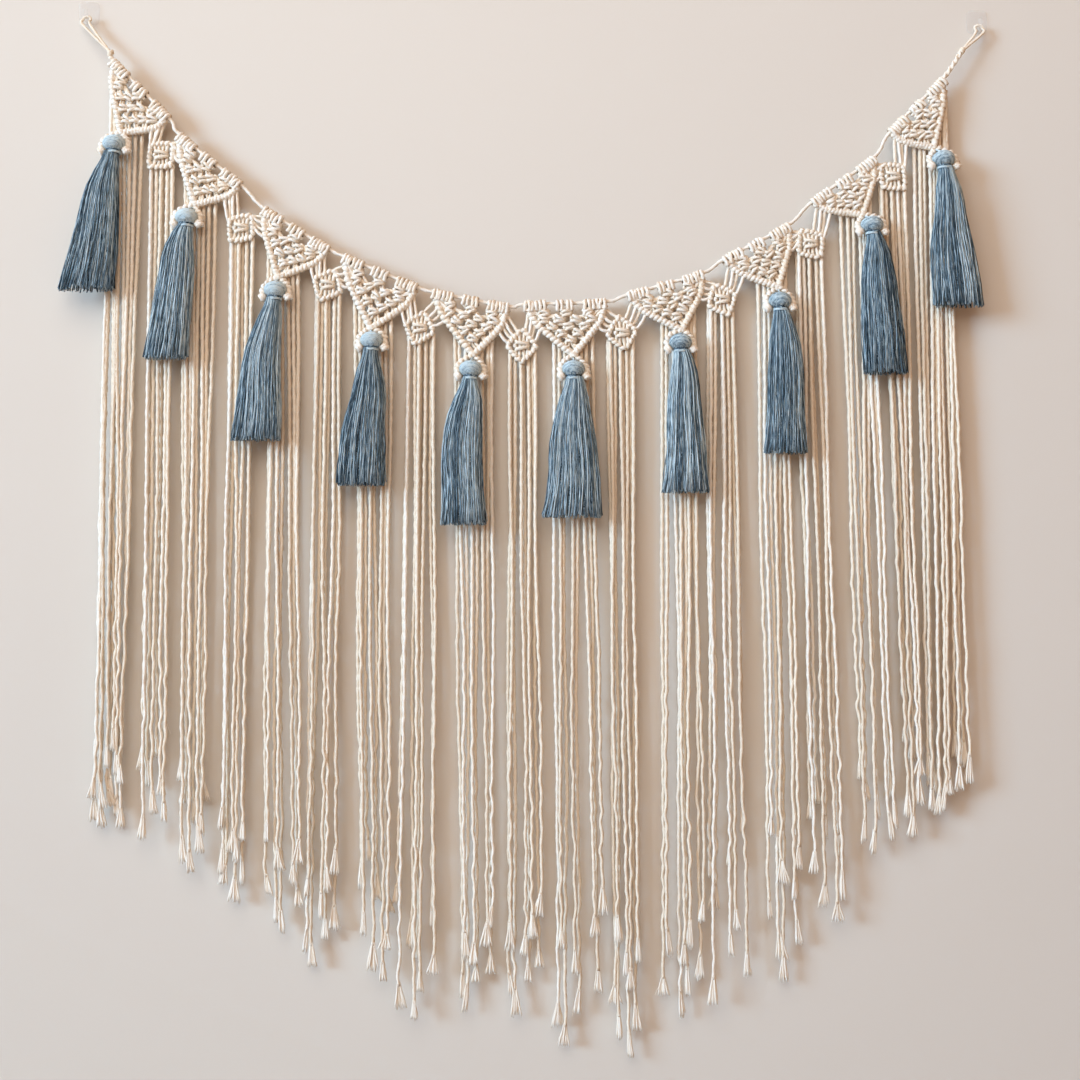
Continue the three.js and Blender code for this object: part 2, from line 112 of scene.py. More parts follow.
# %% Sweep
# a path that sets out this straight into the wall takes its first side direction to the right
HEAD_ON = 0.9
NOISE_APART = 40


def sweep(paths, radius, sides=6, lobe=0.1, lay=30.0, seed=0, tint=None, grain=0.16):
    """Carries a ring of points along every path. Point k of a ring stands at the angle 2 pi (k / sides +
    length / lay), at radius * (1 + lobe * (-1)^k). The radius is one number, or a list with a number or a row
    of them for each path. Returns points, quads, the lie (cosine and sine of the point's own angle, and grain
    times the length along), the direction outward, and a tint, drawn from 0 to 1 where none is given."""
    rng = np.random.default_rng(seed)
    count = np.array([len(path) for path in paths])
    longest = count.max()
    begin = np.r_[0, np.cumsum(count)[:-1]]
    station = begin[:, None] + np.minimum(np.arange(longest), count[:, None] - 1)
    centre = np.vstack(paths)[station]
    after = np.minimum(np.arange(longest) + 1, longest - 1)
    before = np.maximum(np.arange(longest) - 1, 0)
    along = unit(centre[:, after] - centre[:, before])
    start = np.where(np.abs(along[:, :1, 1:2]) > HEAD_ON, TO_RIGHT, INTO_WALL)[:, 0]
    normal = np.empty_like(centre)
    for k in range(longest):
        start = unit(start - (start * along[:, k]).sum(1, keepdims=True) * along[:, k])
        normal[:, k] = start
    side = np.cross(along, normal)
    steps = np.linalg.norm(np.diff(centre, axis=1, prepend=centre[:, :1]), axis=2)
    walked = np.cumsum(steps, axis=1)
    own = 2 * np.pi * np.arange(sides) / sides
    turn = own + (2 * np.pi * walked / lay + 2 * np.pi * rng.random((len(paths), 1)))[..., None]
    radii = [radius] * len(paths) if np.isscalar(radius) else radius
    thick = np.stack([np.resize(np.broadcast_to(r, n), longest) for r, n in zip(radii, count)])
    reach = thick[..., None] * (1 + lobe * (-1.0) ** np.arange(sides))
    ring = centre[:, :, None] + reach[..., None] * (
        np.cos(turn)[..., None] * normal[:, :, None] + np.sin(turn)[..., None] * side[:, :, None])
    outward = unit(ring - centre[:, :, None])
    real = np.arange(longest) < count[:, None]
    shift = NOISE_APART * rng.random((len(paths), 1, 1))
    lie = np.stack(np.broadcast_arrays(np.cos(own), np.sin(own), grain * walked[..., None] + shift), axis=-1)
    tints = rng.random(len(paths)) if tint is None else np.broadcast_to(tint, len(paths))
    inner = np.setdiff1d(np.arange(count.sum()), begin + count - 1)[:, None] * sides
    near = (begin * sides)[:, None, None] + fan(sides)[:, ::-1]
    far = ((begin + count - 1) * sides)[:, None, None] + fan(sides)
    return {"points": ring[real].reshape(-1, 3), "lie": lie[real].reshape(-1, 3),
            "outward": outward[real].reshape(-1, 3), "tint": np.repeat(tints, count * sides),
            "quads": np.concatenate([hoop(inner, sides), near.reshape(-1, 4), far.reshape(-1, 4)])}


print("one cord of three steps has", len(sweep([np.eye(3)], 1.0)["quads"]), "quads")

# %% [markdown]
# A swept part can have shade painted into its hollows, and can be joined with others and put into a mesh.
# Little light comes into the hollows of a knot, and a cord is darkest where it dives behind another, so its
# tint is lowered there as painted shade. A plain skin over rings makes what isn't a cord.

# %% Shade, skin, join and build
FACES_WALL = 0.5
TOTAL = {"triangles": 0}


def paint_hollow_shade(part, front, reach, shade_amount):
    """Paints shade into the hollows of a knot: lowers the tint by the amount times (y - front) / reach, kept
    from 0 to 1, at points that don't face the wall."""
    # painted shade: the deeper a point lies towards the wall, the darker its tint
    painted_shade = np.clip((part["points"][:, 1] - front) / reach, 0, 1)
    part["tint"] = part["tint"] - shade_amount * painted_shade * (part["outward"][:, 1] < FACES_WALL)
    return part


def skin(rings, lie, tint):
    """A closed skin over rings of points of equal count, which run anticlockwise seen from the last ring,
    with a fan of quads over each end. Returns points, quads, lie and tint."""
    rings = np.asarray(rings)
    last, sides = len(rings) - 1, rings.shape[1]
    walls = hoop(sides * np.arange(last)[:, None], sides)
    points = rings.reshape(-1, 3)
    return {"points": points, "lie": np.asarray(lie).reshape(-1, 3), "tint": np.full(len(points), tint),
            "quads": np.concatenate([walls, fan(sides)[:, ::-1], fan(sides) + sides * last])}


def pile(*parts):
    """Several parts as one: their arrays end to end, with the quads counted on."""
    base = np.r_[0, np.cumsum([len(part["points"]) for part in parts])[:-1]]
    joined = {key: np.concatenate([part[key] for part in parts]) for key in ("points", "lie", "tint")}
    joined["quads"] = np.concatenate([part["quads"] + b for part, b in zip(parts, base)])
    return joined


def show(name, data):
    """A new object in the scene that holds the data."""
    thing = bpy.data.objects.new(name, data)
    bpy.context.scene.collection.objects.link(thing)
    return thing


def build(name, part, finish, slot, *nodes):
    """Puts a part into a mesh in metres, with lie and tint as attributes, in the place of named solids."""
    mesh = bpy.data.meshes.new(name)
    points, quads = part["points"] * MM, part["quads"]
    mesh.vertices.add(len(points))
    mesh.vertices.foreach_set("co", points.astype(np.float32).ravel())
    mesh.loops.add(quads.size)
    mesh.loops.foreach_set("vertex_index", quads.astype(np.int32).ravel())
    mesh.polygons.add(len(quads))
    mesh.polygons.foreach_set("loop_start", np.arange(0, quads.size, 4, dtype=np.int32))
    mesh.polygons.foreach_set("use_smooth", np.ones(len(quads), dtype=bool))
    mesh.update(calc_edges=True)
    mesh.attributes.new("lie", "FLOAT_VECTOR", "POINT").data.foreach_set(
        "vector", part["lie"].astype(np.float32).ravel())
    mesh.attributes.new("tint", "FLOAT", "POINT").data.foreach_set("value", part["tint"].astype(np.float32))
    mesh.materials.append(finish)
    piece = show(name, mesh)
    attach(piece, "root")
    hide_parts(*nodes)
    TOTAL["triangles"] += 2 * len(quads)


box = np.zeros((2, 4, 3))
print("a skin over two rings of four points has", len(skin(box, box, 0)["quads"]), "quads")

# %% [markdown]
# ## Camera
# The picture was taken almost square to the wall, from a little below the middle and looking slightly up, so
# the top of the garland is a touch smaller than its foot. At 1.4 m, a millimetre is about one of the
# picture's 1080 pixels.

# %% Camera
VIEW_DISTANCE, VIEW_WIDTH = 1.4, 1.08
VIEW_PITCH = np.radians(3.0)
VIEW_TARGET = np.array([0.0074, -0.015, -0.5258])
SENSOR = 36.0
camera_data = bpy.data.cameras.new("Camera")
camera_data.sensor_width = SENSOR
camera_data.lens = SENSOR * VIEW_DISTANCE / VIEW_WIDTH
camera = show("Camera", camera_data)
camera.location = VIEW_TARGET - VIEW_DISTANCE * np.array([0, np.cos(VIEW_PITCH), np.sin(VIEW_PITCH)])
camera.rotation_euler = (np.pi / 2 + VIEW_PITCH, 0, 0)
bpy.context.scene.camera = camera
print("camera at", [round(x, 3) for x in camera.location])

# %% [markdown]
# ## Stage and light
# A plain pale floor and a plain pale wall. The wall catches the soft shadows that show how far the cords
# stand off it. Seen from behind it lets the camera through, so that the back of the garland can be looked at.
# A large cool lamp far to the left gives the shadows. A large, nearly white lamp above and in front gives
# most of the light, and a weak warm light from all round fills the shadows. The backdrop that the camera
# itself sees is plain and pale.

# %% Stage
FLOOR_Z, WALL_TOP, WALL_Y, STAGE_HALF = -1.35, 4.0, 0.001, 2.6
FLOOR_COLOUR, WALL_COLOUR = (0.66, 0.69, 0.71), (0.72, 0.655, 0.572)
MOTTLE = 0.97


def new_finish(name):
    """An empty material, with its nodes and its main shader."""
    finish = bpy.data.materials.new(name)
    finish.use_nodes = True
    nodes = finish.node_tree.nodes
    return finish, nodes, nodes["Principled BSDF"]


def dial(node, settings):
    """Sets a node's inputs, by name or number, and hands the node back."""
    for socket, value in settings.items():
        node.inputs[socket].default_value = value
    return node


def wire(tree, *wires):
    """Links nodes: each wire gives a node and its output, then the next node and its input."""
    for source, output, goal, entry in wires:
        tree.links.new(source.outputs[output], goal.inputs[entry])


def plain(name, colour, one_sided):
    """A matt finish with faint mottling. If it is one-sided, its back is see-through."""
    finish, nodes, shader = new_finish(name)
    dial(shader, {"Roughness": 0.95})
    noise = dial(nodes.new("ShaderNodeTexNoise"), {"Scale": 3.0})
    ramp = nodes.new("ShaderNodeValToRGB")
    ramp.color_ramp.elements[0].color = (*[MOTTLE * c for c in colour], 1)
    ramp.color_ramp.elements[1].color = (*colour, 1)
    place = nodes.new("ShaderNodeTexCoord")
    wire(finish.node_tree, (place, "Object", noise, "Vector"), (noise, "Fac", ramp, "Fac"),
         (ramp, "Color", shader, "Base Color"))
    if one_sided:
        mix = nodes.new("ShaderNodeMixShader")
        clear = nodes.new("ShaderNodeBsdfTransparent")
        facing = nodes.new("ShaderNodeNewGeometry")
        wire(finish.node_tree, (facing, "Backfacing", mix, "Fac"), (shader, "BSDF", mix, 1),
             (clear, "BSDF", mix, 2), (mix, "Shader", nodes["Material Output"], "Surface"))
    return finish


def board(name, corners, finish):
    """A flat four-cornered stage piece, its corners counter-clockwise from its visible side."""
    mesh = bpy.data.meshes.new(name)
    mesh.from_pydata(corners, [], [(0, 1, 2, 3)])
    mesh.materials.append(finish)
    piece = show(name, mesh)


half, back, low, top = STAGE_HALF, WALL_Y, FLOOR_Z, WALL_TOP
board("Floor", [(-half, -half, low), (half, -half, low), (half, back, low), (-half, back, low)],
      plain("PaleFloor", FLOOR_COLOUR, one_sided=False))
board("Wall", [(-half, back, low), (half, back, low), (half, back, top), (-half, back, top)],
      plain("PaleWall", WALL_COLOUR, one_sided=True))
print("floor at", FLOOR_Z)

# %% Light
LAMPS = [
    {"name": "Window", "at": (-6.8, -4.1, 1.0), "towards": (-0.45, 0, -0.1), "size": 3.2, "watts": 60,
     "tone": (0.43, 0.71, 1.0), "spread": np.radians(45)},
    {"name": "Ceiling", "at": (-0.5, -1.8, 0.95), "towards": (-0.1, 0, 0), "size": 2.2, "watts": 34,
     "tone": (1.0, 1.0, 0.97), "spread": np.pi},
]
WARM_LIGHT, WARM_STRENGTH, BACKDROP = (1.0, 0.42, 0.1, 1), 0.34, (0.72, 0.68, 0.63, 1)
for lamp in LAMPS:
    data = bpy.data.lights.new(lamp["name"], "AREA")
    data.size = lamp["size"]
    data.energy = lamp["watts"]
    data.color = lamp["tone"]
    data.spread = lamp["spread"]
    light = show(lamp["name"], data)
    light.location = lamp["at"]
    aim = np.array(lamp["towards"]) - np.array(lamp["at"])
    flat = np.hypot(aim[0], aim[1])
    light.rotation_euler = (np.pi / 2 + np.arctan2(aim[2], flat), 0, np.arctan2(aim[1], aim[0]) - np.pi / 2)
world = bpy.data.worlds.new("SoftRoom")
world.use_nodes = True
nodes = world.node_tree.nodes
warm = dial(nodes["Background"], {"Color": WARM_LIGHT, "Strength": WARM_STRENGTH})
pale = dial(nodes.new("ShaderNodeBackground"), {"Color": BACKDROP})
path, either = nodes.new("ShaderNodeLightPath"), nodes.new("ShaderNodeMixShader")
wire(world.node_tree, (path, "Is Camera Ray", either, "Fac"), (warm, "Background", either, 1),
     (pale, "Background", either, 2), (either, "Shader", nodes["World Output"], "Surface"))
bpy.context.scene.world = world
bpy.context.scene.view_settings.view_transform = "Standard"
print(len(LAMPS), "lamps")

# %% [markdown]
# ## Finishes
# Undyed cotton is cream and matt, with fine fibres that follow the twist. Noise on Object coordinates would
# run straight through a cord. The lie that each cord carries, its angle and length, is the place where the
# noise is read instead, so the streaks run along the cord. Each cord also has its own tint, and the two
# together pick the colour. Yarn is finer, and its strands differ more from one another.

# %% Fibre finishes
# the first, dark stop is reached only where painted shade lowers the tint in the hollows of knots
COTTON_STOPS = [(0.0, (0.17, 0.13, 0.09)), (0.27, (0.735, 0.60, 0.45)),
                (0.8, (0.89, 0.765, 0.605)), (1.0, (0.90, 0.825, 0.72))]
YARN_STOPS = [(0.38, (0.008, 0.018, 0.028)), (0.67, (0.13, 0.205, 0.26)),
              (0.90, (0.54, 0.66, 0.71)), (1.0, (0.64, 0.72, 0.72))]


def fibre(name, stops, sheen, streaks, share, gain):
    """A matt fibre finish: a share of the cord's tint plus noise along its lie, spread by the gain about a
    half, picks a colour from the stops, and the same noise lifts the surface a little."""
    finish, nodes, shader = new_finish(name)
    dial(shader, {"Roughness": 0.88, "Specular IOR Level": 0.12})
    dial(shader, {"Sheen Weight": sheen, "Sheen Roughness": 0.5})
    lie, tint = nodes.new("ShaderNodeAttribute"), nodes.new("ShaderNodeAttribute")
    lie.attribute_name, tint.attribute_name = "lie", "tint"
    noise = dial(nodes.new("ShaderNodeTexNoise"), {"Scale": streaks, "Detail": 3.0})
    spread = dial(nodes.new("ShaderNodeMapRange"), {"To Min": 0.5 - 0.5 * gain, "To Max": 0.5 + 0.5 * gain})
    spread.clamp = False
    blend = dial(nodes.new("ShaderNodeMath"), {1: share})
    blend.operation = "MULTIPLY_ADD"
    ramp = nodes.new("ShaderNodeValToRGB")
    ramp.color_ramp.elements.remove(ramp.color_ramp.elements[1])
    for place, _ in stops[1:]:
        ramp.color_ramp.elements.new(place)
    for element, (place, colour) in zip(ramp.color_ramp.elements, stops):
        element.position = place
        element.color = (*colour, 1)
    lift = dial(nodes.new("ShaderNodeBump"), {"Strength": 0.4, "Distance": 0.0006})
    wire(finish.node_tree, (lie, "Vector", noise, "Vector"), (noise, "Fac", spread, "Value"),
         (tint, "Fac", blend, 0), (spread, "Result", blend, 2), (blend, "Value", ramp, "Fac"),
         (ramp, "Color", shader, "Base Color"), (noise, "Fac", lift, "Height"),
         (lift, "Normal", shader, "Normal"))
    return finish


COTTON = fibre("CreamCotton", COTTON_STOPS, sheen=0.1, streaks=2.2, share=0.5, gain=1.0)
YARN = fibre("DustyBlueYarn", YARN_STOPS, sheen=0.04, streaks=2.0, share=0.45, gain=1.9)
print("finishes:", COTTON.name, YARN.name)

# %% [markdown]
# ## Plan of the garland
# The same tables as in the solid model, in millimetres: x to the right and z up, with the wall at y = 0. A
# pennant's plan has u along the carrier from its middle, and v from 0 at the carrier to 1 at the point.

# %% Plan
KNOT_Y, RING_Y, TASSEL_Y = -15.0, -17.0, -26.0
HALF_WIDTH = 39.0
PLUMB = 3.0
END_KNOTS = np.array([[-430, -29], [437, -27]], float)
CORNERS = np.array([
    [-426, -38], [-370, -96], [-358, -114], [-296, -165], [-271, -190], [-206, -231], [-190, -239],
    [-117, -270], [-100, -275], [-25, -290], [-8, -288], [73, -285], [96, -278], [171, -256],
    [193, -242], [258, -207], [283, -183], [345, -138], [363, -111], [416, -57]], float)
POINTS = np.array([
    [-418, -112], [-342, -186], [-257, -260], [-163, -312], [-60, -339], [41, -339], [150, -314], [248, -270],
    [334, -196], [407, -127]], float)
PENNANTS = range(len(POINTS))
CARRIER = np.insert(np.vstack([END_KNOTS[:1], CORNERS, END_KNOTS[1:]]), 1, KNOT_Y, axis=1)
LAST_SPAN, CARRIER_READS = len(CARRIER) - 1, 300
CARRIER_LINE = spline(CARRIER, np.linspace(0, LAST_SPAN, CARRIER_READS))
EDGE_U, EDGE_V = np.array([37.0, 29.0, 15.0, 0.0]), np.array([0.06, 0.36, 0.66, 1.0])


def at_depth(place, y):
    """A place (x, z) of the plan, at y from the wall."""
    return np.array([place[0], y, place[1]])


def on_carrier(index, u):
    """The carrier's place at u: the curve through the end knots and corners, a span from corner to corner."""
    return spline(CARRIER, 2 * index + 1 + (np.asarray(u, float) + HALF_WIDTH) / (2 * HALF_WIDTH))


def along_carrier(index, u):
    """The carrier's direction at u, from a place just before it to one just after."""
    return unit(on_carrier(index, u + 1.0) - on_carrier(index, u - 1.0))


def on_pennant(index, u, v):
    """The carrier's place at u, moved v of the way along the drop from the carrier's middle to the point."""
    drop = at_depth(POINTS[index], KNOT_Y) - on_carrier(index, 0.0)
    return on_carrier(index, u) + np.asarray(v, float)[..., None] * drop


def axes(index, u):
    """Unit directions for the knots: to the right, into the wall, and up, which lies between plumb and square
    to the row, PLUMB times nearer to plumb."""
    up = unit(PLUMB * UP + np.cross(along_carrier(index, u), INTO_WALL))
    return np.stack([np.cross(INTO_WALL, up), INTO_WALL, up])


def on_edge(index, side, share):
    """A place on the edge bar on one side: straight stretches between four places of the plan, by share."""
    spot = np.asarray(share, float) * (len(EDGE_U) - 1)
    u = np.interp(spot, range(len(EDGE_U)), EDGE_U)
    v = np.interp(spot, range(len(EDGE_V)), EDGE_V)
    return on_pennant(index, side * u, v)


print("carrier's lowest point:", CARRIER_LINE[:, 2].min().round(1), "mm")

# %% [markdown]
# ## Heading
# The carrier cord has eight lark's head knots for each pennant: a folded cord goes over the carrier from the
# front and comes back under itself, so two legs stand side by side over the carrier. A knot could be sculpted
# once and copied. A list of places is shorter, and each copy can be a little different: one list describes a
# leg, and the other leg is its mirror image. At each end the carrier is two cords twisted together, which are
# knotted and go on as a loop over the hook.

# %% Knots and coils of the heading
STEP = 1.7
MIRROR = np.array([-1, 1, 1])
JITTER = 0.35
WHITE = (0.7, 1.2)
# painted shade in the hollows of knots: the depth where it starts, the depth over which it grows, and its
# strength
HOLLOW_SHADE = {"front": KNOT_Y - 1.8, "reach": 3.0, "shade_amount": 2.0}
HITCH_U = [-35, -27, -19, -4, 4, 19, 27, 35]
LEG = np.array([[-2.2, -2.0, -7.5], [-2.1, -3.4, -2.8], [-1.9, -2.8, 0.9], [-1.8, 0.2, 2.2], [-1.8, 3.0, 0.4],
                [-1.9, 3.8, -2.5], [-0.9, 4.2, -4.8]])
HITCH = np.vstack([LEG, LEG[::-1] * MIRROR])
HOOKS = [{"name": "HookLeft", "node": "hook_left", "x": -457.0, "seat": 10.0},
         {"name": "HookRight", "node": "hook_right", "x": 457.0, "seat": 1.0}]
LOOP = np.array([[0.0, -7.0, 2.0], [2.4, -7.0, 1.6], [3.9, -7.0, -1.0], [3.8, -8.5, -7.0]])
WRAP_READS = 14


def hitch(index, u, rng):
    """A lark's head knot: its places, each a little off, along the carrier, into the wall and across both."""
    along = along_carrier(index, u)
    basis = np.stack([along, INTO_WALL, np.cross(along, INTO_WALL)])
    return even(on_carrier(index, u) + (HITCH + rng.normal(0, JITTER, HITCH.shape)) @ basis, STEP)


def wound(along, reach, angle):
    """How a coil stands off its line: reach (cos a across + sin a into the wall), across square to both."""
    across = unit(np.cross(along, INTO_WALL))
    return reach * (np.cos(angle) * across + np.sin(angle) * INTO_WALL)


def wrap(middle, along, reach, turns, length):
    """A coil round a straight line: middle + length (t - 1/2) along, t from 0 to 1, wound by 2 pi turns t."""
    t = np.linspace(0, 1, int(WRAP_READS * turns))[:, None]
    line = middle + (t - 0.5) * length * along
    return even((line + wound(along, reach, 2 * np.pi * turns * t))[::2], STEP)


def twisted(line, reach, turns):
    """Two cords wound round one line, half a turn apart."""
    angle = 2 * np.pi * turns * np.linspace(0, 1, len(line))[:, None]
    away = wound(np.gradient(line, axis=0), reach, angle)
    return [line + away, line - away]


def end_loop(hook, knot):
    """From the end knot up one side of the hook's J, over its floor and back down to the knot."""
    seat, tied = np.array([hook["x"], 0, hook["seat"]]), at_depth(knot, KNOT_Y)
    return even(np.vstack([tied, seat + LOOP[:0:-1] * MIRROR, seat + LOOP, tied]), STEP)


print("a lark's head is", len(hitch(0, 0.0, np.random.default_rng(0))), "steps long")

# %% Heading
CARRIER_CORD, LOOP_CORD, END_KNOT_CORD, HITCH_CORD = 1.9, 1.5, 1.6, 2.0
CARRIER_STEP, TIED_STEPS = 2.2, 4
PAIR_SPAN, PAIR_READS, PAIR_STEP = 1.1, 60, 1.2
carrier = even(CARRIER_LINE, CARRIER_STEP)
knots, loops, pairs = [], [], []
for start in (0, LAST_SPAN - PAIR_SPAN):
    spans = np.linspace(start, start + PAIR_SPAN, PAIR_READS)
    pairs += twisted(even(spline(CARRIER, spans), PAIR_STEP), reach=1.3, turns=3.0)
for hook, knot, end in zip(HOOKS, END_KNOTS, (carrier[:TIED_STEPS], carrier[-TIED_STEPS:])):
    loops.append(end_loop(hook, knot))
    knots.append(wrap(at_depth(knot, KNOT_Y), unit(end[-1] - end[0]), reach=2.0, turns=2.0, length=4.0))
dice = np.random.default_rng(5)
hitches = [hitch(index, u, dice) for index in PENNANTS for u in HITCH_U]
hitch_tints = dice.uniform(*WHITE, len(hitches))
# the lark's heads get painted shade in their hollows
heading = pile(sweep([carrier[TIED_STEPS:-TIED_STEPS]], CARRIER_CORD, seed=1, tint=1.0),
               sweep(loops + pairs, LOOP_CORD, seed=2), sweep(knots, END_KNOT_CORD, seed=3),
               paint_hollow_shade(sweep(hitches, HITCH_CORD, seed=4, tint=hitch_tints), **HOLLOW_SHADE))
build("Heading", heading, COTTON, "cotton", "heading_cord")
print(len(hitches), "lark's heads,", 2 * len(heading["quads"]), "triangles")

# %% [markdown]
# ## Pennants
# Sixteen strands come down from the eight lark's heads. Four neighbours at a time make a square knot: the
# inner two run straight through, the outer left one crosses in front and back, and the outer right one goes
# behind and comes round the left side. Rows of knots alternate, so each strand wanders from knot to knot and
# ends at an edge bar. A net modelled as crossing bars would be lighter, but the turns of the knots are what
# the eye looks for. The table gives each row's height, and the knots' places along it with the first strand
# of each.

# %% Square knots
ROWS = [
    {"v": 0.19, "knots": [(-19.0, 2), (0.0, 6), (19.0, 10)]},
    {"v": 0.32, "knots": [(-20.5, 0), (-6.8, 4), (6.8, 8), (20.5, 12)]},
    {"v": 0.45, "knots": [(-13.5, 2), (0.0, 6), (13.5, 10)]},
    {"v": 0.58, "knots": [(-6.8, 4), (6.8, 8)]},
    {"v": 0.71, "knots": [(0.0, 6)]},
]
FRONT = np.array([[-4.0, 0, 3.7], [-3.4, -2.3, 2.6], [0, -3.6, 2.0], [3.7, -2.1, 1.3], [4.8, 0.4, 0],
                  [3.7, -2.1, -1.3], [0, -3.6, -2.0], [-3.4, -2.3, -2.6], [-4.0, 0, -3.7]])
BACK = np.array([[4.0, 0, 3.7], [4.2, 1.2, 2.4], [0, 3.0, 1.6], [-3.7, 1.0, 1.0], [-4.9, -2.3, 0],
                 [-3.7, 1.0, -1.0], [0, 3.0, -1.6], [4.2, 1.2, -2.4], [4.0, 0, -3.7]])
FILLER = np.array([[1.3, 0.4, 3.6], [1.1, -0.3, 0], [1.3, 0.4, -3.6]])
SQUARE_KNOT = [FRONT, FILLER * MIRROR, FILLER, BACK]
STRANDS = 2 * len(HITCH_U)
LEG_APART, LEG_FOOT = 2.0, np.array([0, -2.0, -6.0])
LEAVE = np.array([0.43, 0.47, 0.56, 0.6, 0.7, 0.74, 0.86, 0.92])
LEAN = {"most": 0.35, "pace": 5.0, "pennant": 7.3, "row": 40}


def lean(index, u, v):
    """A turn in the plane of the wall, so that no two knots sit alike, by an angle in radians of most times
    sin(pace (pennant index + u + row v))."""
    angle = LEAN["most"] * np.sin(LEAN["pace"] * (LEAN["pennant"] * index + u + LEAN["row"] * v))
    return np.array([[np.cos(angle), 0, np.sin(angle)], [0, 1, 0], [-np.sin(angle), 0, np.cos(angle)]])


def strand(index, number, rng):
    """One strand's places: the foot of its lark's head leg, its lane in each knot that it goes through, and
    the place on the nearer edge bar where it ends."""
    leg = -1 if number % 2 == 0 else 1
    u = HITCH_U[number // 2]
    places = [on_pennant(index, u + LEG_APART * leg, 0.0) + LEG_FOOT @ axes(index, u)]
    for row in ROWS:
        for middle, first in row["knots"]:
            if 0 <= number - first < len(SQUARE_KNOT):
                lane = SQUARE_KNOT[number - first]
                lane = (lane + rng.normal(0, JITTER, lane.shape)) @ lean(index, middle, row["v"])
                places.append(on_pennant(index, middle, row["v"]) + lane @ axes(index, middle))
    side = -1 if number < len(LEAVE) else 1
    places.append(on_edge(index, side, LEAVE[min(number, STRANDS - 1 - number)]))
    return even(np.vstack(places), STEP)


print("square knots in a pennant:", sum(len(row["knots"]) for row in ROWS))

# %% [markdown]
# An edge bar is a row of double half hitches: each strand in turn is wound twice round one holding cord. Seen
# from the front this is a close coil that follows the pennant's edge, and a coil is a circle carried along a
# path. The two bars cross at the point and go on as two arms round the tassel's head, each with a small knot
# at its end.

# %% Edge bars and ring
BAR_TURNS, BAR_REACH, BAR_SHARES = 14, 1.5, np.linspace(0, 1, 7)
ARM_TURNS, ARM_REACH, ARM_START = 7, 1.4, 0.9
ARM_KNOT, ARM_KNOT_OUT = {"reach": 2.4, "turns": 2.2, "length": 5.0}, 0.8
STRAND_CORD, BAR_CORD, ARM_CORDS = 1.7, 2.8, [2.5, 2.6]
COIL_READS, LINE_STEP = 8, 1.0
# from the head's middle: to the side, into the wall and up
RING = np.array([[8.5, 0.0, 9.0], [13.2, -3.0, 2.0], [12.4, -7.5, -7.0]])
HEADS = np.array([
    [-422, -126], [-348, -201], [-258, -275], [-161, -326], [-62, -355], [41, -355], [148, -328], [248, -286],
    [341, -209], [414, -142]], float)


def coil(line, reach, turns):
    """A coil round a line that lies flat on the wall: the line's place at t, wound by 2 pi turns t."""
    t = np.linspace(0, 1, int(COIL_READS * turns) + 1)
    fine = np.stack([np.interp(t, np.linspace(0, 1, len(line)), axis) for axis in line.T], axis=1)
    return even(fine + wound(np.gradient(fine, axis=0), reach, 2 * np.pi * (turns * t)[:, None]), STEP)


def edge_bar(index, side):
    """The coil along one edge, a little wider than its holding cord."""
    return coil(even(on_edge(index, side, BAR_SHARES), LINE_STEP), BAR_REACH, BAR_TURNS)


def ring_arm(index, side):
    """The bar's coil carried on from the point round one side of the head, and a knot at its end."""
    low = at_depth(HEADS[index], RING_Y) + RING * [side, 1, 1]
    crossing = [on_edge(index, -side, ARM_START), on_edge(index, side, 1.0)]
    line = even(np.vstack([*crossing, low]), LINE_STEP)
    aim = unit(np.array([ARM_KNOT_OUT * side, 0.0, -1.0]))
    return [coil(line, ARM_REACH, ARM_TURNS), wrap(low[-1], aim, **ARM_KNOT)]


def pennant(index):
    """All the cords of one pennant as one part."""
    rng = np.random.default_rng(160 + index)
    strands = [strand(index, number, rng) for number in range(STRANDS)]
    bars = [edge_bar(index, side) for side in (-1, 1)]
    arms = ring_arm(index, -1) + ring_arm(index, 1)
    strand_tints, bar_tints, arm_tints = (rng.uniform(*WHITE, len(cords)) for cords in (strands, bars, arms))
    # strands and edge bars get painted shade in their hollows
    return pile(paint_hollow_shade(sweep(strands, STRAND_CORD, seed=100 + index, tint=strand_tints), **HOLLOW_SHADE),
                paint_hollow_shade(sweep(bars, BAR_CORD, seed=120 + index, tint=bar_tints), **HOLLOW_SHADE),
                sweep(arms, ARM_CORDS * 2, seed=140 + index, tint=arm_tints))


for index in PENNANTS:
    knotted = pennant(index)
    build(f"Pennant{index + 1:02d}", knotted, COTTON, "cotton", f"pennant_{index + 1:02d}")
print("a pennant has", 2 * len(knotted["quads"]), "triangles")

# %% [markdown]
# ## Diamonds
# Between two pennants, four strands of each come together in a small diamond: a rim of half hitches round one
# square knot. The rim is a coil carried round a rounded diamond, whose radius at an angle comes from a
# superellipse, so one formula also gives the ends of the strands and the roots of the fringe. Each diamond
# turns with the slope of the row, so the outer ones look like upright squares.

# %% Diamonds
DIAMONDS = np.array([
    [-377, -135], [-295, -210], [-207, -268], [-114, -312], [-11, -330], [90, -317], [191, -283], [281, -226],
    [365, -157]], float)
DIAMOND_HALF, DIAMOND_ROUND = (14.5, 16.5), 1.12
ROW_STEP = np.diff(0.5 * (CORNERS[::2] + CORNERS[1::2]), axis=0)
DIAMOND_TURN = np.arctan2(ROW_STEP[:, 1], ROW_STEP[:, 0])
RIM_TURNS, RIM_REACH, RIM_READS = 17, 1.0, 97
RIM_CORD, SPOKE_CORD, LEAF_CORD = 2.35, 1.9, 1.75
SPOKE_TURNS, SPOKE_SIZE = [0.34, 0.13, -0.13, -0.34], np.array([1.4, 1.0, 1.35])
LEAF_SHARES, LEAF_TURNS = [0.08, 0.2, 0.32, 0.44], [0.16, 0.43, 0.59, 0.83]
LEAF_DEPTH, LEAF_RISE = 0.9, [0.3, -1.6, -2.2, -2.6]


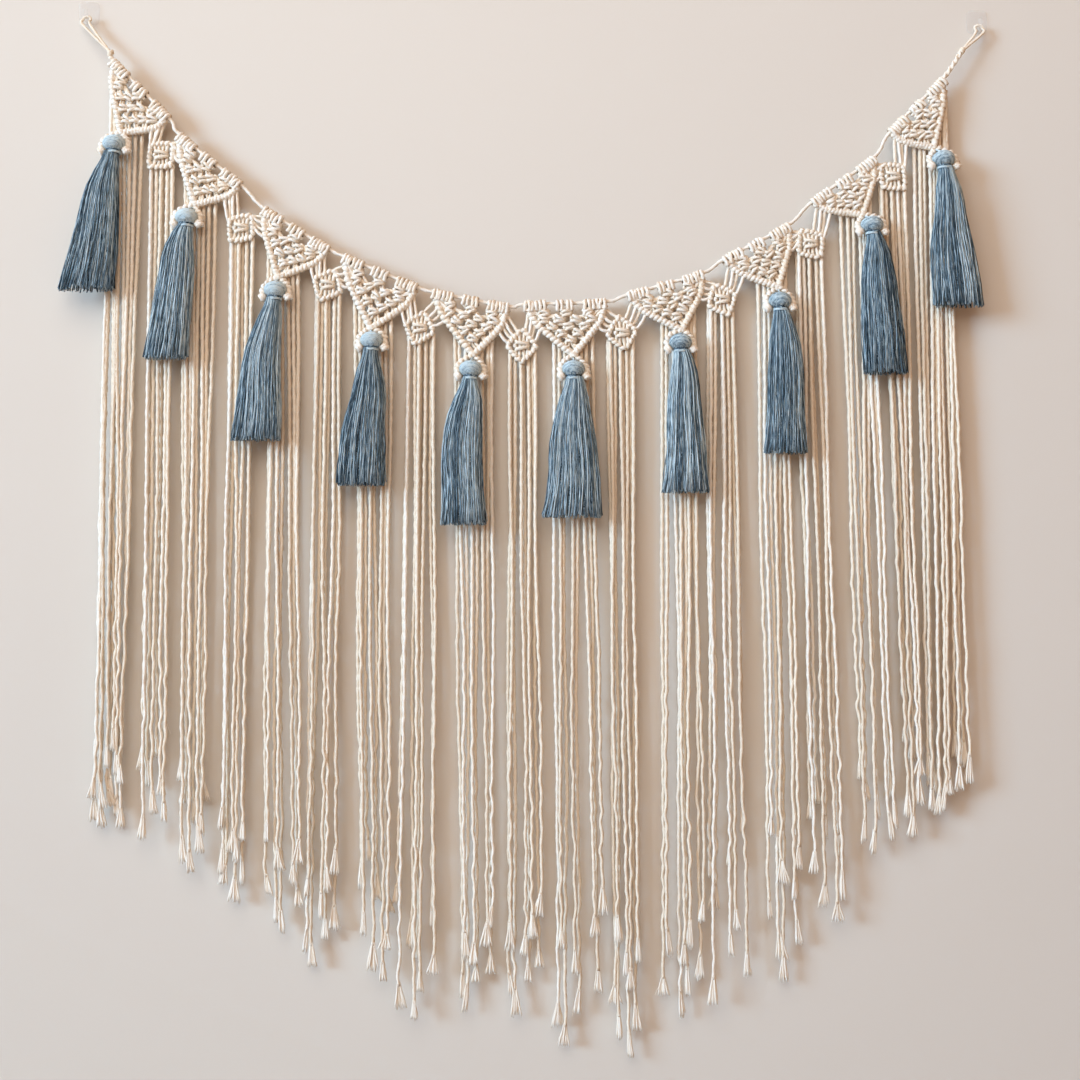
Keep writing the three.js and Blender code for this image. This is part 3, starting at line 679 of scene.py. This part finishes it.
def on_rim(index, angle):
    """The rim's place at an angle: reach = (|cos / a|^n + |sin / b|^n)^(-1/n) from the diamond's middle, with
    cosine and sine counted from the slope of the row, so that the diamond turns with the swag."""
    x, z = DIAMONDS[index]
    own, n = angle - DIAMOND_TURN[index], DIAMOND_ROUND
    wide, high = np.abs(np.cos(own) / DIAMOND_HALF[0]), np.abs(np.sin(own) / DIAMOND_HALF[1])
    reach = (wide ** n + high ** n) ** (-1 / n)
    depth = np.full_like(reach, KNOT_Y)
    return np.stack([x + reach * np.cos(angle), depth, z + reach * np.sin(angle)], axis=-1)


def leaf(index, side, k):
    """A strand from a pennant's edge bar to the rim: the top one is nearly straight, and the others sag."""
    start = on_edge(index if side > 0 else index + 1, side, LEAF_SHARES[k])
    end = on_rim(index, np.array(np.pi / 2 * (1 + side * LEAF_TURNS[k])))
    bow = np.array([0.0, LEAF_DEPTH * (-1) ** k, LEAF_RISE[k]])
    return even(np.stack([start, (2 * start + end) / 3 + bow, (start + 2 * end) / 3 + bow, end]), STEP)


def diamond(index):
    """Rim, the square knot in its middle with four strands in and four out, and the strands from both sides.
    The strands are pale and a little paler by turns."""
    rim = coil(on_rim(index, np.linspace(0, 2 * np.pi, RIM_READS) + np.pi / 2), RIM_REACH, RIM_TURNS)
    middle = at_depth(DIAMONDS[index], KNOT_Y)
    spokes = []
    for lane, turns in zip(SQUARE_KNOT, SPOKE_TURNS):
        top, foot = on_rim(index, np.pi / 2 * (1 + np.array([turns, 2 - turns])))
        spokes.append(even(np.vstack([top, middle + lane * SPOKE_SIZE, foot]), STEP))
    leaves = [leaf(index, side, k) for side in (1, -1) for k in range(len(LEAF_SHARES))]
    # the rim and the middle knot get painted shade in their hollows
    return pile(paint_hollow_shade(sweep([rim], RIM_CORD, seed=200 + index, tint=1.0), **HOLLOW_SHADE),
                paint_hollow_shade(sweep(spokes, SPOKE_CORD, seed=220 + index, tint=WHITE * 2), **HOLLOW_SHADE),
                sweep(leaves, LEAF_CORD, seed=240 + index, tint=WHITE * 4))


for index in range(len(DIAMONDS)):
    small = diamond(index)
    build(f"Diamond{index + 1:02d}", small, COTTON, "cotton", f"diamond_{index + 1:02d}")
print("a diamond has", 2 * len(small["quads"]), "triangles")

# %% [markdown]
# ## Fringe
# Every strand that leaves the knots hangs down. A hanging cord is nearly straight, with a slow wander all
# along and some kinks in its lower part, where it was once wound up. Its end has come untwisted into a small
# broom of locks and fibres. A hair system could make these, but it would leave no mesh: here they are thin
# curves that start in the cord and lean outwards more and more.

# %% Roots and feet of the fringe
FRINGE_Y, BEHIND_BAR = [-11.5, -17.5], -10.8
FRINGE_SHARES, FRINGE_REACH = np.array([0.58, 0.7, 0.82, 0.94]), 19.0
# along the lower rim, from left (0) to right (2), and how far from the wall: some hang one behind the other
RIM_SHARES = np.array([0.16, 0.24, 0.6, 0.95, 1.05, 1.4, 1.76, 1.84])
BEHIND_RIM = np.array([-8.4, -12.6, -10.6, -12.6, -8.4, -10.6, -8.4, -12.6])
RIM_STRIP, RIM_WIDER = 2 * np.pi * np.array([0.54, 0.75, 0.96]), 0.18
END_SHARES, END_OUT = np.array([0.04, 0.1, 0.16, 0.22]), 2.5
SHORTFALL = np.array([0, 0.55, 0.25, 0.8, 0.4, 1, 0.15, 0.7])
CLUMPS, CLUMP_SHIFT, CLUMP_PHASES = np.array([0.1, 0.5, 0.9]), 0.1, np.array([0, 2.0, 4.0])
# middle and width of the row of feet, heights of the shortest and longest end, and which strand is longest
PENNANT_FEET = [
    (-415, 15, -735, -815, 6), (-338, 26, -764, -854, 3), (-248.5, 37, -826, -915, 4),
    (-156, 32, -843, -963, 5), (-54.5, 35, -910, -986, 2), (46, 52, -890, -1025, 2),
    (149.5, 41, -905, -992, 2), (248, 32, -822, -958, 4), (341, 38, -767, -835, 3), (403, 23, -760, -799, 3)]
DIAMOND_FEET = [
    (-376, 28, -724, -821, 1), (-296.5, 21, -813, -881, 4), (-208, 32, -852, -947, 2),
    (-115, 38, -890, -1001, 3), (-6.5, 37, -897, -989, 2), (93, 22, -918, -1033, 4),
    (194, 38, -815, -978, 1), (290.5, 37, -783, -905, 5), (377.5, 17, -682, -819, 3)]
END_FEET = [(-432, 9, -773, -808, 2), (427, 14, -725, -773, 1)]
ENDS = [
    {"name": "EndFringeLeft", "node": "end_fringe_left", "pennant": 0, "side": -1, "feet": END_FEET[0]},
    {"name": "EndFringeRight", "node": "end_fringe_right", "pennant": 9, "side": 1, "feet": END_FEET[1]},
]


def near_point(index, side):
    """The roots' shares of an edge bar: the plain shares, drawn towards the point where the bar runs out far
    sideways, so that no root is more than FRINGE_REACH from it."""
    away = np.abs(on_edge(index, side, FRINGE_SHARES[0]) - on_edge(index, side, 1.0))[0]
    return 1 - (1 - FRINGE_SHARES) * min(1.0, FRINGE_REACH / away)


def feet(row, count):
    """The strands' ends: spread over x but drawn halfway to the nearest of three clumps, in two layers, each
    cut short by its own share."""
    x, spread, short, long, longest = row
    k = np.arange(count)
    z = long + (short - long) * SHORTFALL[(k - longest) % len(SHORTFALL)]
    share = k / (count - 1)
    clumps = CLUMPS + CLUMP_SHIFT * np.sin(x + CLUMP_PHASES)
    nearest = clumps[np.abs(share[:, None] - clumps).argmin(axis=1)]
    return np.stack([x + spread * (0.5 * share + 0.5 * nearest - 0.5), np.resize(FRINGE_Y, count), z], axis=1)


print("feet of the first pennant's fringe:", feet(PENNANT_FEET[0], len(SHORTFALL))[:, 0].round().tolist())

# %% Hanging cords and brooms
FRINGE_CORD, FRINGE_LAY, FRINGE_STEP, HANG_READS = (2.2, 1.7), 36.0, 3.2, 60
WANDER, WANDER_WAVES, FLATTER = (0.6, 2.0), 1.3, [1.0, 0.3]
KINK, KINK_MOST, KINK_ONSET = 0.65, 1.4, 6
KINK_ABOVE, KINK_FROM, KINK_OVER = 0.3, 0.35, 0.5
ROOT_JITTER = [0.7, 0.3, 0.3]
LOCKS, FIBRES, AIM_STATIONS = 9, 8, 5
BROOM_ROOM, BROOM_LENGTH, BROOM_OVERLAP = 20.0, (18, 28), 3.0
BROOM_FLARES, BROOM_NECK, FLARE_POWER, FLATTENING = [1.2, 2.2, 3.4, 4.6], 1.1, 1.3, 0.4
FIBRE_SPOT, SPOT_JITTER, LENGTH_JITTER = 1.25, 0.12, 0.05
SWAY, SWAY_PACE, SWAY_PHASE = 0.5, 4, 6
LOCK_RADII = np.array([0.75, 0.9, 1.05, 1.15, 1.1, 0.5])
FIBRE_RADII = np.array([0.35, 0.35, 0.35, 0.35, 0.3, 0.2])
THREAD = {"sides": 4, "lobe": 0.0, "lay": np.inf}


def hanging(root, foot, rng):
    """A cord from root to foot: a straight line, a slow sine that dies out at both ends, and kinks, which
    fade in near the root and then grow, from a share of their size above to all of it further down."""
    t = np.linspace(0, 1, HANG_READS)[:, None]
    low = KINK_ABOVE + (1 - KINK_ABOVE) * np.clip((t - KINK_FROM) / KINK_OVER, 0, 1)
    size, phase = rng.uniform(*WANDER, 2), rng.random(2)
    wander = size * np.sin(2 * np.pi * (WANDER_WAVES * t + phase)) * np.sin(np.pi * t)
    kinks = np.clip(rng.normal(0, KINK, (HANG_READS, 2)), -KINK_MOST, KINK_MOST)
    away = (wander + kinks * np.clip(KINK_ONSET * t, 0, 1) * low) * FLATTER
    return even(root + (foot - root) * t + np.insert(away, 2, 0, axis=1), FRINGE_STEP)


def broom(end, aim, rng):
    """The untwisted end: locks and finer fibres go down by aim s length and sideways by spot (neck + flare
    s^power), and sway a little more as s grows, with s from 0 to 1 and a spot of about -1 to 1 for each."""
    length, flare = rng.uniform(*BROOM_LENGTH), rng.choice(BROOM_FLARES)
    count = LOCKS + FIBRES
    spot = np.r_[np.linspace(-1, 1, LOCKS), rng.uniform(-FIBRE_SPOT, FIBRE_SPOT, FIBRES)]
    spot += rng.normal(0, SPOT_JITTER, count)
    depth = rng.uniform(-1, 1, count)
    s = np.linspace(0, 1, len(LOCK_RADII))[:, None]
    down = s * length * rng.normal(1.0, LENGTH_JITTER, count) - BROOM_OVERLAP
    sway = rng.normal(0, SWAY, count) * np.sin(SWAY_PACE * s + SWAY_PHASE * rng.random(count)) * s
    aside = spot * (BROOM_NECK + flare * s**FLARE_POWER) + sway
    out = np.stack([aside, depth * (1.0 - FLATTENING * s), np.zeros_like(down)], axis=-1)
    paths = (end + down[..., None] * aim + out).transpose(1, 0, 2)
    return list(paths[:LOCKS]), list(paths[LOCKS:])


def fringe(name, node, roots, row, seed):
    """A group of hanging cords with their brooms, as one piece."""
    rng = np.random.default_rng(seed)
    cords, locks, fibres = [], [], []
    for root, foot in zip(roots, feet(row, len(roots))):
        cord = hanging(root + rng.normal(0, ROOT_JITTER), foot + BROOM_ROOM * UP, rng)
        brush, loose = broom(cord[-1], unit(cord[-1] - cord[-AIM_STATIONS]), rng)
        cords.append(cord)
        locks += brush
        fibres += loose
    thick = [np.linspace(*FRINGE_CORD, len(cord)) for cord in cords]
    lock_tints = rng.uniform(*WHITE, len(locks))
    hung = pile(sweep(cords, thick, lay=FRINGE_LAY, seed=seed),
                sweep(locks, [LOCK_RADII] * len(locks), seed=seed + 1, tint=lock_tints, **THREAD),
                sweep(fibres, [FIBRE_RADII] * len(fibres), seed=seed + 2, **THREAD))
    build(name, hung, COTTON, "cotton", node)
    return 2 * len(hung["quads"])


for index in PENNANTS:
    left, right = (on_edge(index, side, near_point(index, side)) for side in (-1, 1))
    roots = np.concatenate([left, right[::-1]])
    roots[:, 1] = BEHIND_BAR
    number = f"{index + 1:02d}"
    triangles = fringe("PennantFringe" + number, "pennant_fringe_" + number, roots, PENNANT_FEET[index],
                       300 + 2 * index)
for index in range(len(DIAMONDS)):
    strip = on_rim(index, RIM_STRIP)
    roots = np.stack([np.interp(RIM_SHARES, [0, 1, 2], axis) for axis in strip.T], axis=1)
    roots[:, 0] += RIM_WIDER * (roots[:, 0] - DIAMONDS[index][0])
    roots[:, 1] = BEHIND_RIM
    number = f"{index + 1:02d}"
    fringe("DiamondFringe" + number, "diamond_fringe_" + number, roots, DIAMOND_FEET[index], 340 + 2 * index)
for end in ENDS:
    side = end["side"]
    roots = on_edge(end["pennant"], side, END_SHARES[::side]) + END_OUT * side * TO_RIGHT
    roots[:, 1] = BEHIND_BAR
    fringe(end["name"], end["node"], roots, end["feet"], 380 + side)
print("a group of the fringe has", triangles, "triangles")

# %% [markdown]
# ## Tassels
# A tassel is a hank of yarn, folded over a tie and bound below the fold. The head is a ball of yarn lines
# that run round and round, and the skirt is a bundle of yarns that swells quickly below the neck and then
# hangs. Each skirt's outline was read off the picture, and a yarn keeps its own place in the bundle all the
# way down. It is swept as the cords are, only thinner and without a twist.

# %% Skirts
FEET = np.array([
    [-444, -274], [-363, -343], [-272, -425], [-168, -470], [-67, -509], [40, -502], [154, -477], [253, -438],
    [352, -358], [425, -290]], float)
# how far the skirt reaches to the left and to the right of the line from neck to foot, at these shares of it
SKIRT_SHARE = [0.0, 0.05, 0.1, 0.18, 0.28, 0.4, 0.55, 0.7, 0.85, 1.0]
SKIRT_LEFT = [
    [9, 10, 13, 18, 22, 24, 25, 27, 29, 31], [8, 12, 16, 19, 21, 21, 23, 23, 24, 25],
    [8, 9, 13, 16, 21, 25, 26, 26, 27, 28], [8, 8, 10, 14, 16, 19, 23, 25, 26, 26],
    [7, 9, 12, 18, 22, 25, 26, 24, 23, 24], [7, 8, 11, 15, 18, 22, 23, 24, 26, 31],
    [6, 7, 9, 11, 13, 16, 17, 18, 21, 25], [6, 7, 8, 11, 12, 14, 16, 16, 18, 22],
    [5, 6, 7, 11, 14, 16, 17, 19, 20, 21], [5, 6, 7, 11, 12, 15, 20, 22, 23, 24]]
SKIRT_RIGHT = [
    [5, 6, 7, 9, 12, 15, 18, 21, 23, 25], [6, 7, 8, 10, 13, 14, 15, 16, 17, 18],
    [5, 6, 8, 9, 10, 11, 13, 16, 19, 21], [6, 6, 8, 12, 15, 17, 17, 19, 20, 21],
    [5, 7, 10, 13, 13, 14, 14, 15, 18, 21], [9, 11, 13, 16, 18, 21, 24, 26, 27, 29],
    [8, 11, 14, 16, 17, 17, 19, 20, 20, 22], [7, 10, 13, 16, 19, 20, 20, 19, 19, 20],
    [8, 11, 14, 17, 18, 20, 20, 22, 22, 22], [8, 10, 12, 16, 17, 18, 21, 23, 25, 26]]
SKIRT_DEPTH = [5.0, 5.6, 6.2, 7.0, 7.6, 7.8, 8.0, 8.0, 8.2, 8.4]
YARNS, YARN_STATIONS, STATION_POWER, NECK_DROP = 290, 10, 1.25, 8.0
SKIRT_HOLLOW, GOLDEN_ANGLE = 0.7, 2.39996
YARN_CUT, YARN_WAVES, YARN_SWAY, YARN_SWAY_POWER = (0.985, 1.02), (0.8, 1.8), (0.5, 2.2), 0.7


def skirt_place(index, disc, share):
    """The place of a yarn with a given spot in the unit disc, at a share of the way from neck to foot."""
    neck = at_depth(HEADS[index], TASSEL_Y) - NECK_DROP * UP
    foot = at_depth(FEET[index], TASSEL_Y)
    left = np.interp(share, SKIRT_SHARE, SKIRT_LEFT[index])
    right = np.interp(share, SKIRT_SHARE, SKIRT_RIGHT[index])
    depth = np.interp(share, SKIRT_SHARE, SKIRT_DEPTH)
    x = 0.5 * (right - left) + 0.5 * (right + left) * disc[..., 0]
    across = np.stack([x, disc[..., 1] * depth, np.zeros_like(x)], axis=-1)
    return neck + (foot - neck) * share[..., None] + across


def skirt(index, rng):
    """Yarns spread by the golden angle over the outer part of the disc, yarn k at the root of hollow + (1 -
    hollow) (k + 1/2) / yarns from its middle, with stations closer together near the neck and a slow wave in
    each yarn, which grows downwards."""
    k = np.arange(YARNS)
    reach = (SKIRT_HOLLOW + (1 - SKIRT_HOLLOW) * (k + 0.5) / YARNS) ** 0.5
    disc = reach[:, None] * np.stack([np.cos(GOLDEN_ANGLE * k), np.sin(GOLDEN_ANGLE * k)], axis=1)
    share = np.linspace(0, 1, YARN_STATIONS)[None] ** STATION_POWER * rng.uniform(*YARN_CUT, (YARNS, 1))
    places = skirt_place(index, np.repeat(disc[:, None], YARN_STATIONS, axis=1), share)
    wave = np.sin(2 * np.pi * (rng.uniform(*YARN_WAVES, (YARNS, 1)) * share + rng.random((YARNS, 1))))
    places[..., 0] += wave * share**YARN_SWAY_POWER * rng.uniform(*YARN_SWAY, (YARNS, 1))
    return list(places)


print("the first skirt has", len(skirt(0, np.random.default_rng(0))), "yarns")

# %% Heads and filling
HEAD_HALF, HEAD_LEAN, HEAD_Y = np.array([10.8, 9.6, 8.0]), np.radians(40), TASSEL_Y + 1.0
HEAD_YARNS, HEAD_STATIONS, HEAD_OPEN = 22, 21, 0.01
# the filling's low tint is painted shade: the yarn's blue, darkened as deep inside a dense hank
CORE_SIDES, CORE_HEAD, CORE_SKIRT, CORE_SHADE_TINT, CORE_GRAIN = 16, 0.93, 0.9, 0.1, 0.3
CORE_RISE = np.radians([82, 60, 36, 10, -18, -42])[:, None]
CORE_SHARES = np.array([0.03, 0.08, 0.18, 0.36, 0.7, 0.96])


def head(index):
    """Circles of yarn round the ball, from pole to pole of an axis that leans forward and down: half sizes
    times (cos p axis + sin p (cos a across + sin a up)), p from pole to pole and a for nearly a turn."""
    axis = np.array([0.0, -np.cos(HEAD_LEAN), -np.sin(HEAD_LEAN)])
    up = np.array([0.0, -np.sin(HEAD_LEAN), np.cos(HEAD_LEAN)])
    p = (np.pi * (np.arange(HEAD_YARNS) + 0.5) / HEAD_YARNS)[:, None, None]
    a = (2 * np.pi * np.linspace(HEAD_OPEN, 1 - HEAD_OPEN, HEAD_STATIONS) - np.pi / 2)[:, None]
    ball = np.cos(p) * axis + np.sin(p) * (np.cos(a) * TO_RIGHT + np.sin(a) * up)
    return list(at_depth(HEADS[index], HEAD_Y) + HEAD_HALF * ball)


def core(index):
    """A plain dark filling inside head and skirt, so that no light shows between the yarns; it has the yarn's
    blue, and its dark tint is painted shade, as deep inside a dense hank: rings from the top of the head to
    the foot, level in the head by half sizes times (cos rise circle, sin rise)."""
    turn = -2 * np.pi * np.arange(CORE_SIDES) / CORE_SIDES
    circle = np.stack([np.cos(turn), np.sin(turn)], axis=1)
    level = np.cos(CORE_RISE) * circle[:, 0], np.cos(CORE_RISE) * circle[:, 1], np.sin(CORE_RISE)
    ball = np.stack(np.broadcast_arrays(*level), axis=-1)
    top = at_depth(HEADS[index], HEAD_Y) + CORE_HEAD * HEAD_HALF * ball
    disc = np.repeat(CORE_SKIRT * circle[None], len(CORE_SHARES), axis=0)
    low = skirt_place(index, disc, np.repeat(CORE_SHARES[:, None], CORE_SIDES, axis=1))
    rings = np.concatenate([top, low])
    return skin(rings, CORE_GRAIN * rings, CORE_SHADE_TINT)


print("the filling has", len(core(0)["points"]), "points")

# %% Tassels
YARN_RADII, YARN_TINTS, YARN_GRAIN = (0.42, 0.66), (-0.05, 1.05), 0.05
HEAD_YARN, HEAD_TINTS = 0.7, (0.5, 1.1)
BINDING, BINDING_Y, BINDING_DROP = {"reach": 6.6, "turns": 2.5, "length": 2.4}, TASSEL_Y + 0.6, 9.8
TIE_CORDS, TIE_Y, TIE_RISE, TIE_STEP = [0.7, 1.1], (-14.0, -12.0), np.array([7.0, -1.0, 5.0]), 2.0
# how much lighter or darker than the rest each tassel's skirt and head are, from left to right
TONES = [-0.24, 0.02, -0.11, -0.23, -0.1, -0.05, -0.06, -0.18, -0.28, -0.14]
HEAD_TONES = [0.3, 0.35, 0.3, 0.15, 0.13, 0, -0.05, 0, -0.02, -0.01]


def tassel(index):
    """Filling, skirt, head, the binding at the neck and the tie up to the pennant's point."""
    rng = np.random.default_rng(400 + index)
    yarns = skirt(index, rng)
    binding = wrap(at_depth(HEADS[index], BINDING_Y) - BINDING_DROP * UP, -UP, **BINDING)
    tie = np.stack([at_depth(HEADS[index], TASSEL_Y), *(at_depth(POINTS[index], y) for y in TIE_Y)])
    tie = even(tie + TIE_RISE[:, None] * UP, TIE_STEP)
    yarn_radii = rng.uniform(*YARN_RADII, YARNS)
    yarn_tints = rng.uniform(*YARN_TINTS, YARNS) + TONES[index]
    head_tints = rng.uniform(*HEAD_TINTS, HEAD_YARNS) + HEAD_TONES[index]
    return pile(core(index),
                sweep(yarns, yarn_radii, seed=420 + index, tint=yarn_tints, grain=YARN_GRAIN, **THREAD),
                sweep(head(index), HEAD_YARN, seed=440 + index, tint=head_tints, **THREAD),
                sweep([binding, tie], TIE_CORDS, seed=460 + index, tint=1.0, **THREAD))


for index in PENNANTS:
    hank = tassel(index)
    build(f"Tassel{index + 1:02d}", hank, YARN, "yarn", f"tassel_{index + 1:02d}")
print("a tassel has", 2 * len(hank["quads"]), "triangles;", TOTAL["triangles"], "in all so far")

# %% [markdown]
# ## Hooks
# The hooks are small clear plates stuck to the wall, each with a J-shaped lip that the cord's loop hangs on.
# Clear plastic shows mostly at its edges. Instead of a bevelled box, the plate is a skin over rings of one
# rounded outline, which shrinks towards both faces and so rounds corners and edges at once.

# %% Hook finish
def clear_plastic():
    """Clear plastic: most light goes straight through, and faint noise makes the gloss uneven."""
    finish, nodes, shader = new_finish("ClearPlastic")
    dial(shader, {"Base Color": (0.80, 0.77, 0.73, 1), "Alpha": 0.12, "IOR": 1.47})
    place = nodes.new("ShaderNodeTexCoord")
    noise = dial(nodes.new("ShaderNodeTexNoise"), {"Scale": 180.0})
    rough = dial(nodes.new("ShaderNodeMapRange"), {"To Min": 0.08, "To Max": 0.2})
    wire(finish.node_tree, (place, "Object", noise, "Vector"), (noise, "Fac", rough, "Value"),
         (rough, "Result", shader, "Roughness"))
    return finish


CLEAR = clear_plastic()
print("finish:", CLEAR.name)

# %% Hooks
PLATE = {"half": (10.5, 12.0), "lift": 8.0, "round": 5.0, "sides": 32}
# from the wall to the front: the depth of a ring, and how much its outline is drawn in
PLATE_RINGS = [(0.0, 0.5), (-0.4, 0.0), (-1.5, 0.0), (-2.0, 0.6)]
JAY = {"half": (2.2, 1.5), "round": 3.0, "sides": 12, "step": 0.8}
JAY_PATH = np.array([[0, -1.0, -1.5], [0, -6.0, -1.5], [0, -11.0, -1.2], [0, -12.5, 1.0], [0, -12.5, 7.2]])
CLEAR_TINT = 0.5


def squircle(sides, half, power):
    """A rounded rectangle, |x / a|^n + |y / b|^n = 1: x = a |cos|^(2/n) and y = b |sin|^(2/n), signed."""
    turn = 2 * np.pi * np.arange(sides) / sides
    cos, sin = np.cos(turn), np.sin(turn)
    return np.stack([half[0] * np.sign(cos) * np.abs(cos) ** (2 / power),
                     half[1] * np.sign(sin) * np.abs(sin) ** (2 / power)], axis=-1)


def plate(hook):
    """The plate's outline in four rings from the wall to the front, smaller at both faces."""
    rings = []
    for y, shrink in PLATE_RINGS:
        flat = squircle(PLATE["sides"], np.array(PLATE["half"]) - shrink, PLATE["round"])
        flat += [hook["x"], hook["seat"] + PLATE["lift"]]
        rings.append(np.insert(flat, 1, y, axis=1))
    return skin(rings, rings, CLEAR_TINT)


def jay(hook):
    """A rounded bar carried along the J: its section lies square to the path, wide across the wall."""
    path = even(JAY_PATH, JAY["step"]) + np.array([hook["x"], 0, hook["seat"]])
    other = np.cross(unit(np.gradient(path, axis=0)), TO_RIGHT)
    section = squircle(JAY["sides"], JAY["half"], JAY["round"])
    rings = path[:, None] + section[None, :, :1] * TO_RIGHT + section[None, :, 1:] * other[:, None]
    return skin(rings, rings, CLEAR_TINT)


for hook in HOOKS:
    build(hook["name"], pile(plate(hook), jay(hook)), CLEAR, "plastic", hook["node"])
print(len(HOOKS), "hooks;", TOTAL["triangles"], "triangles in all")
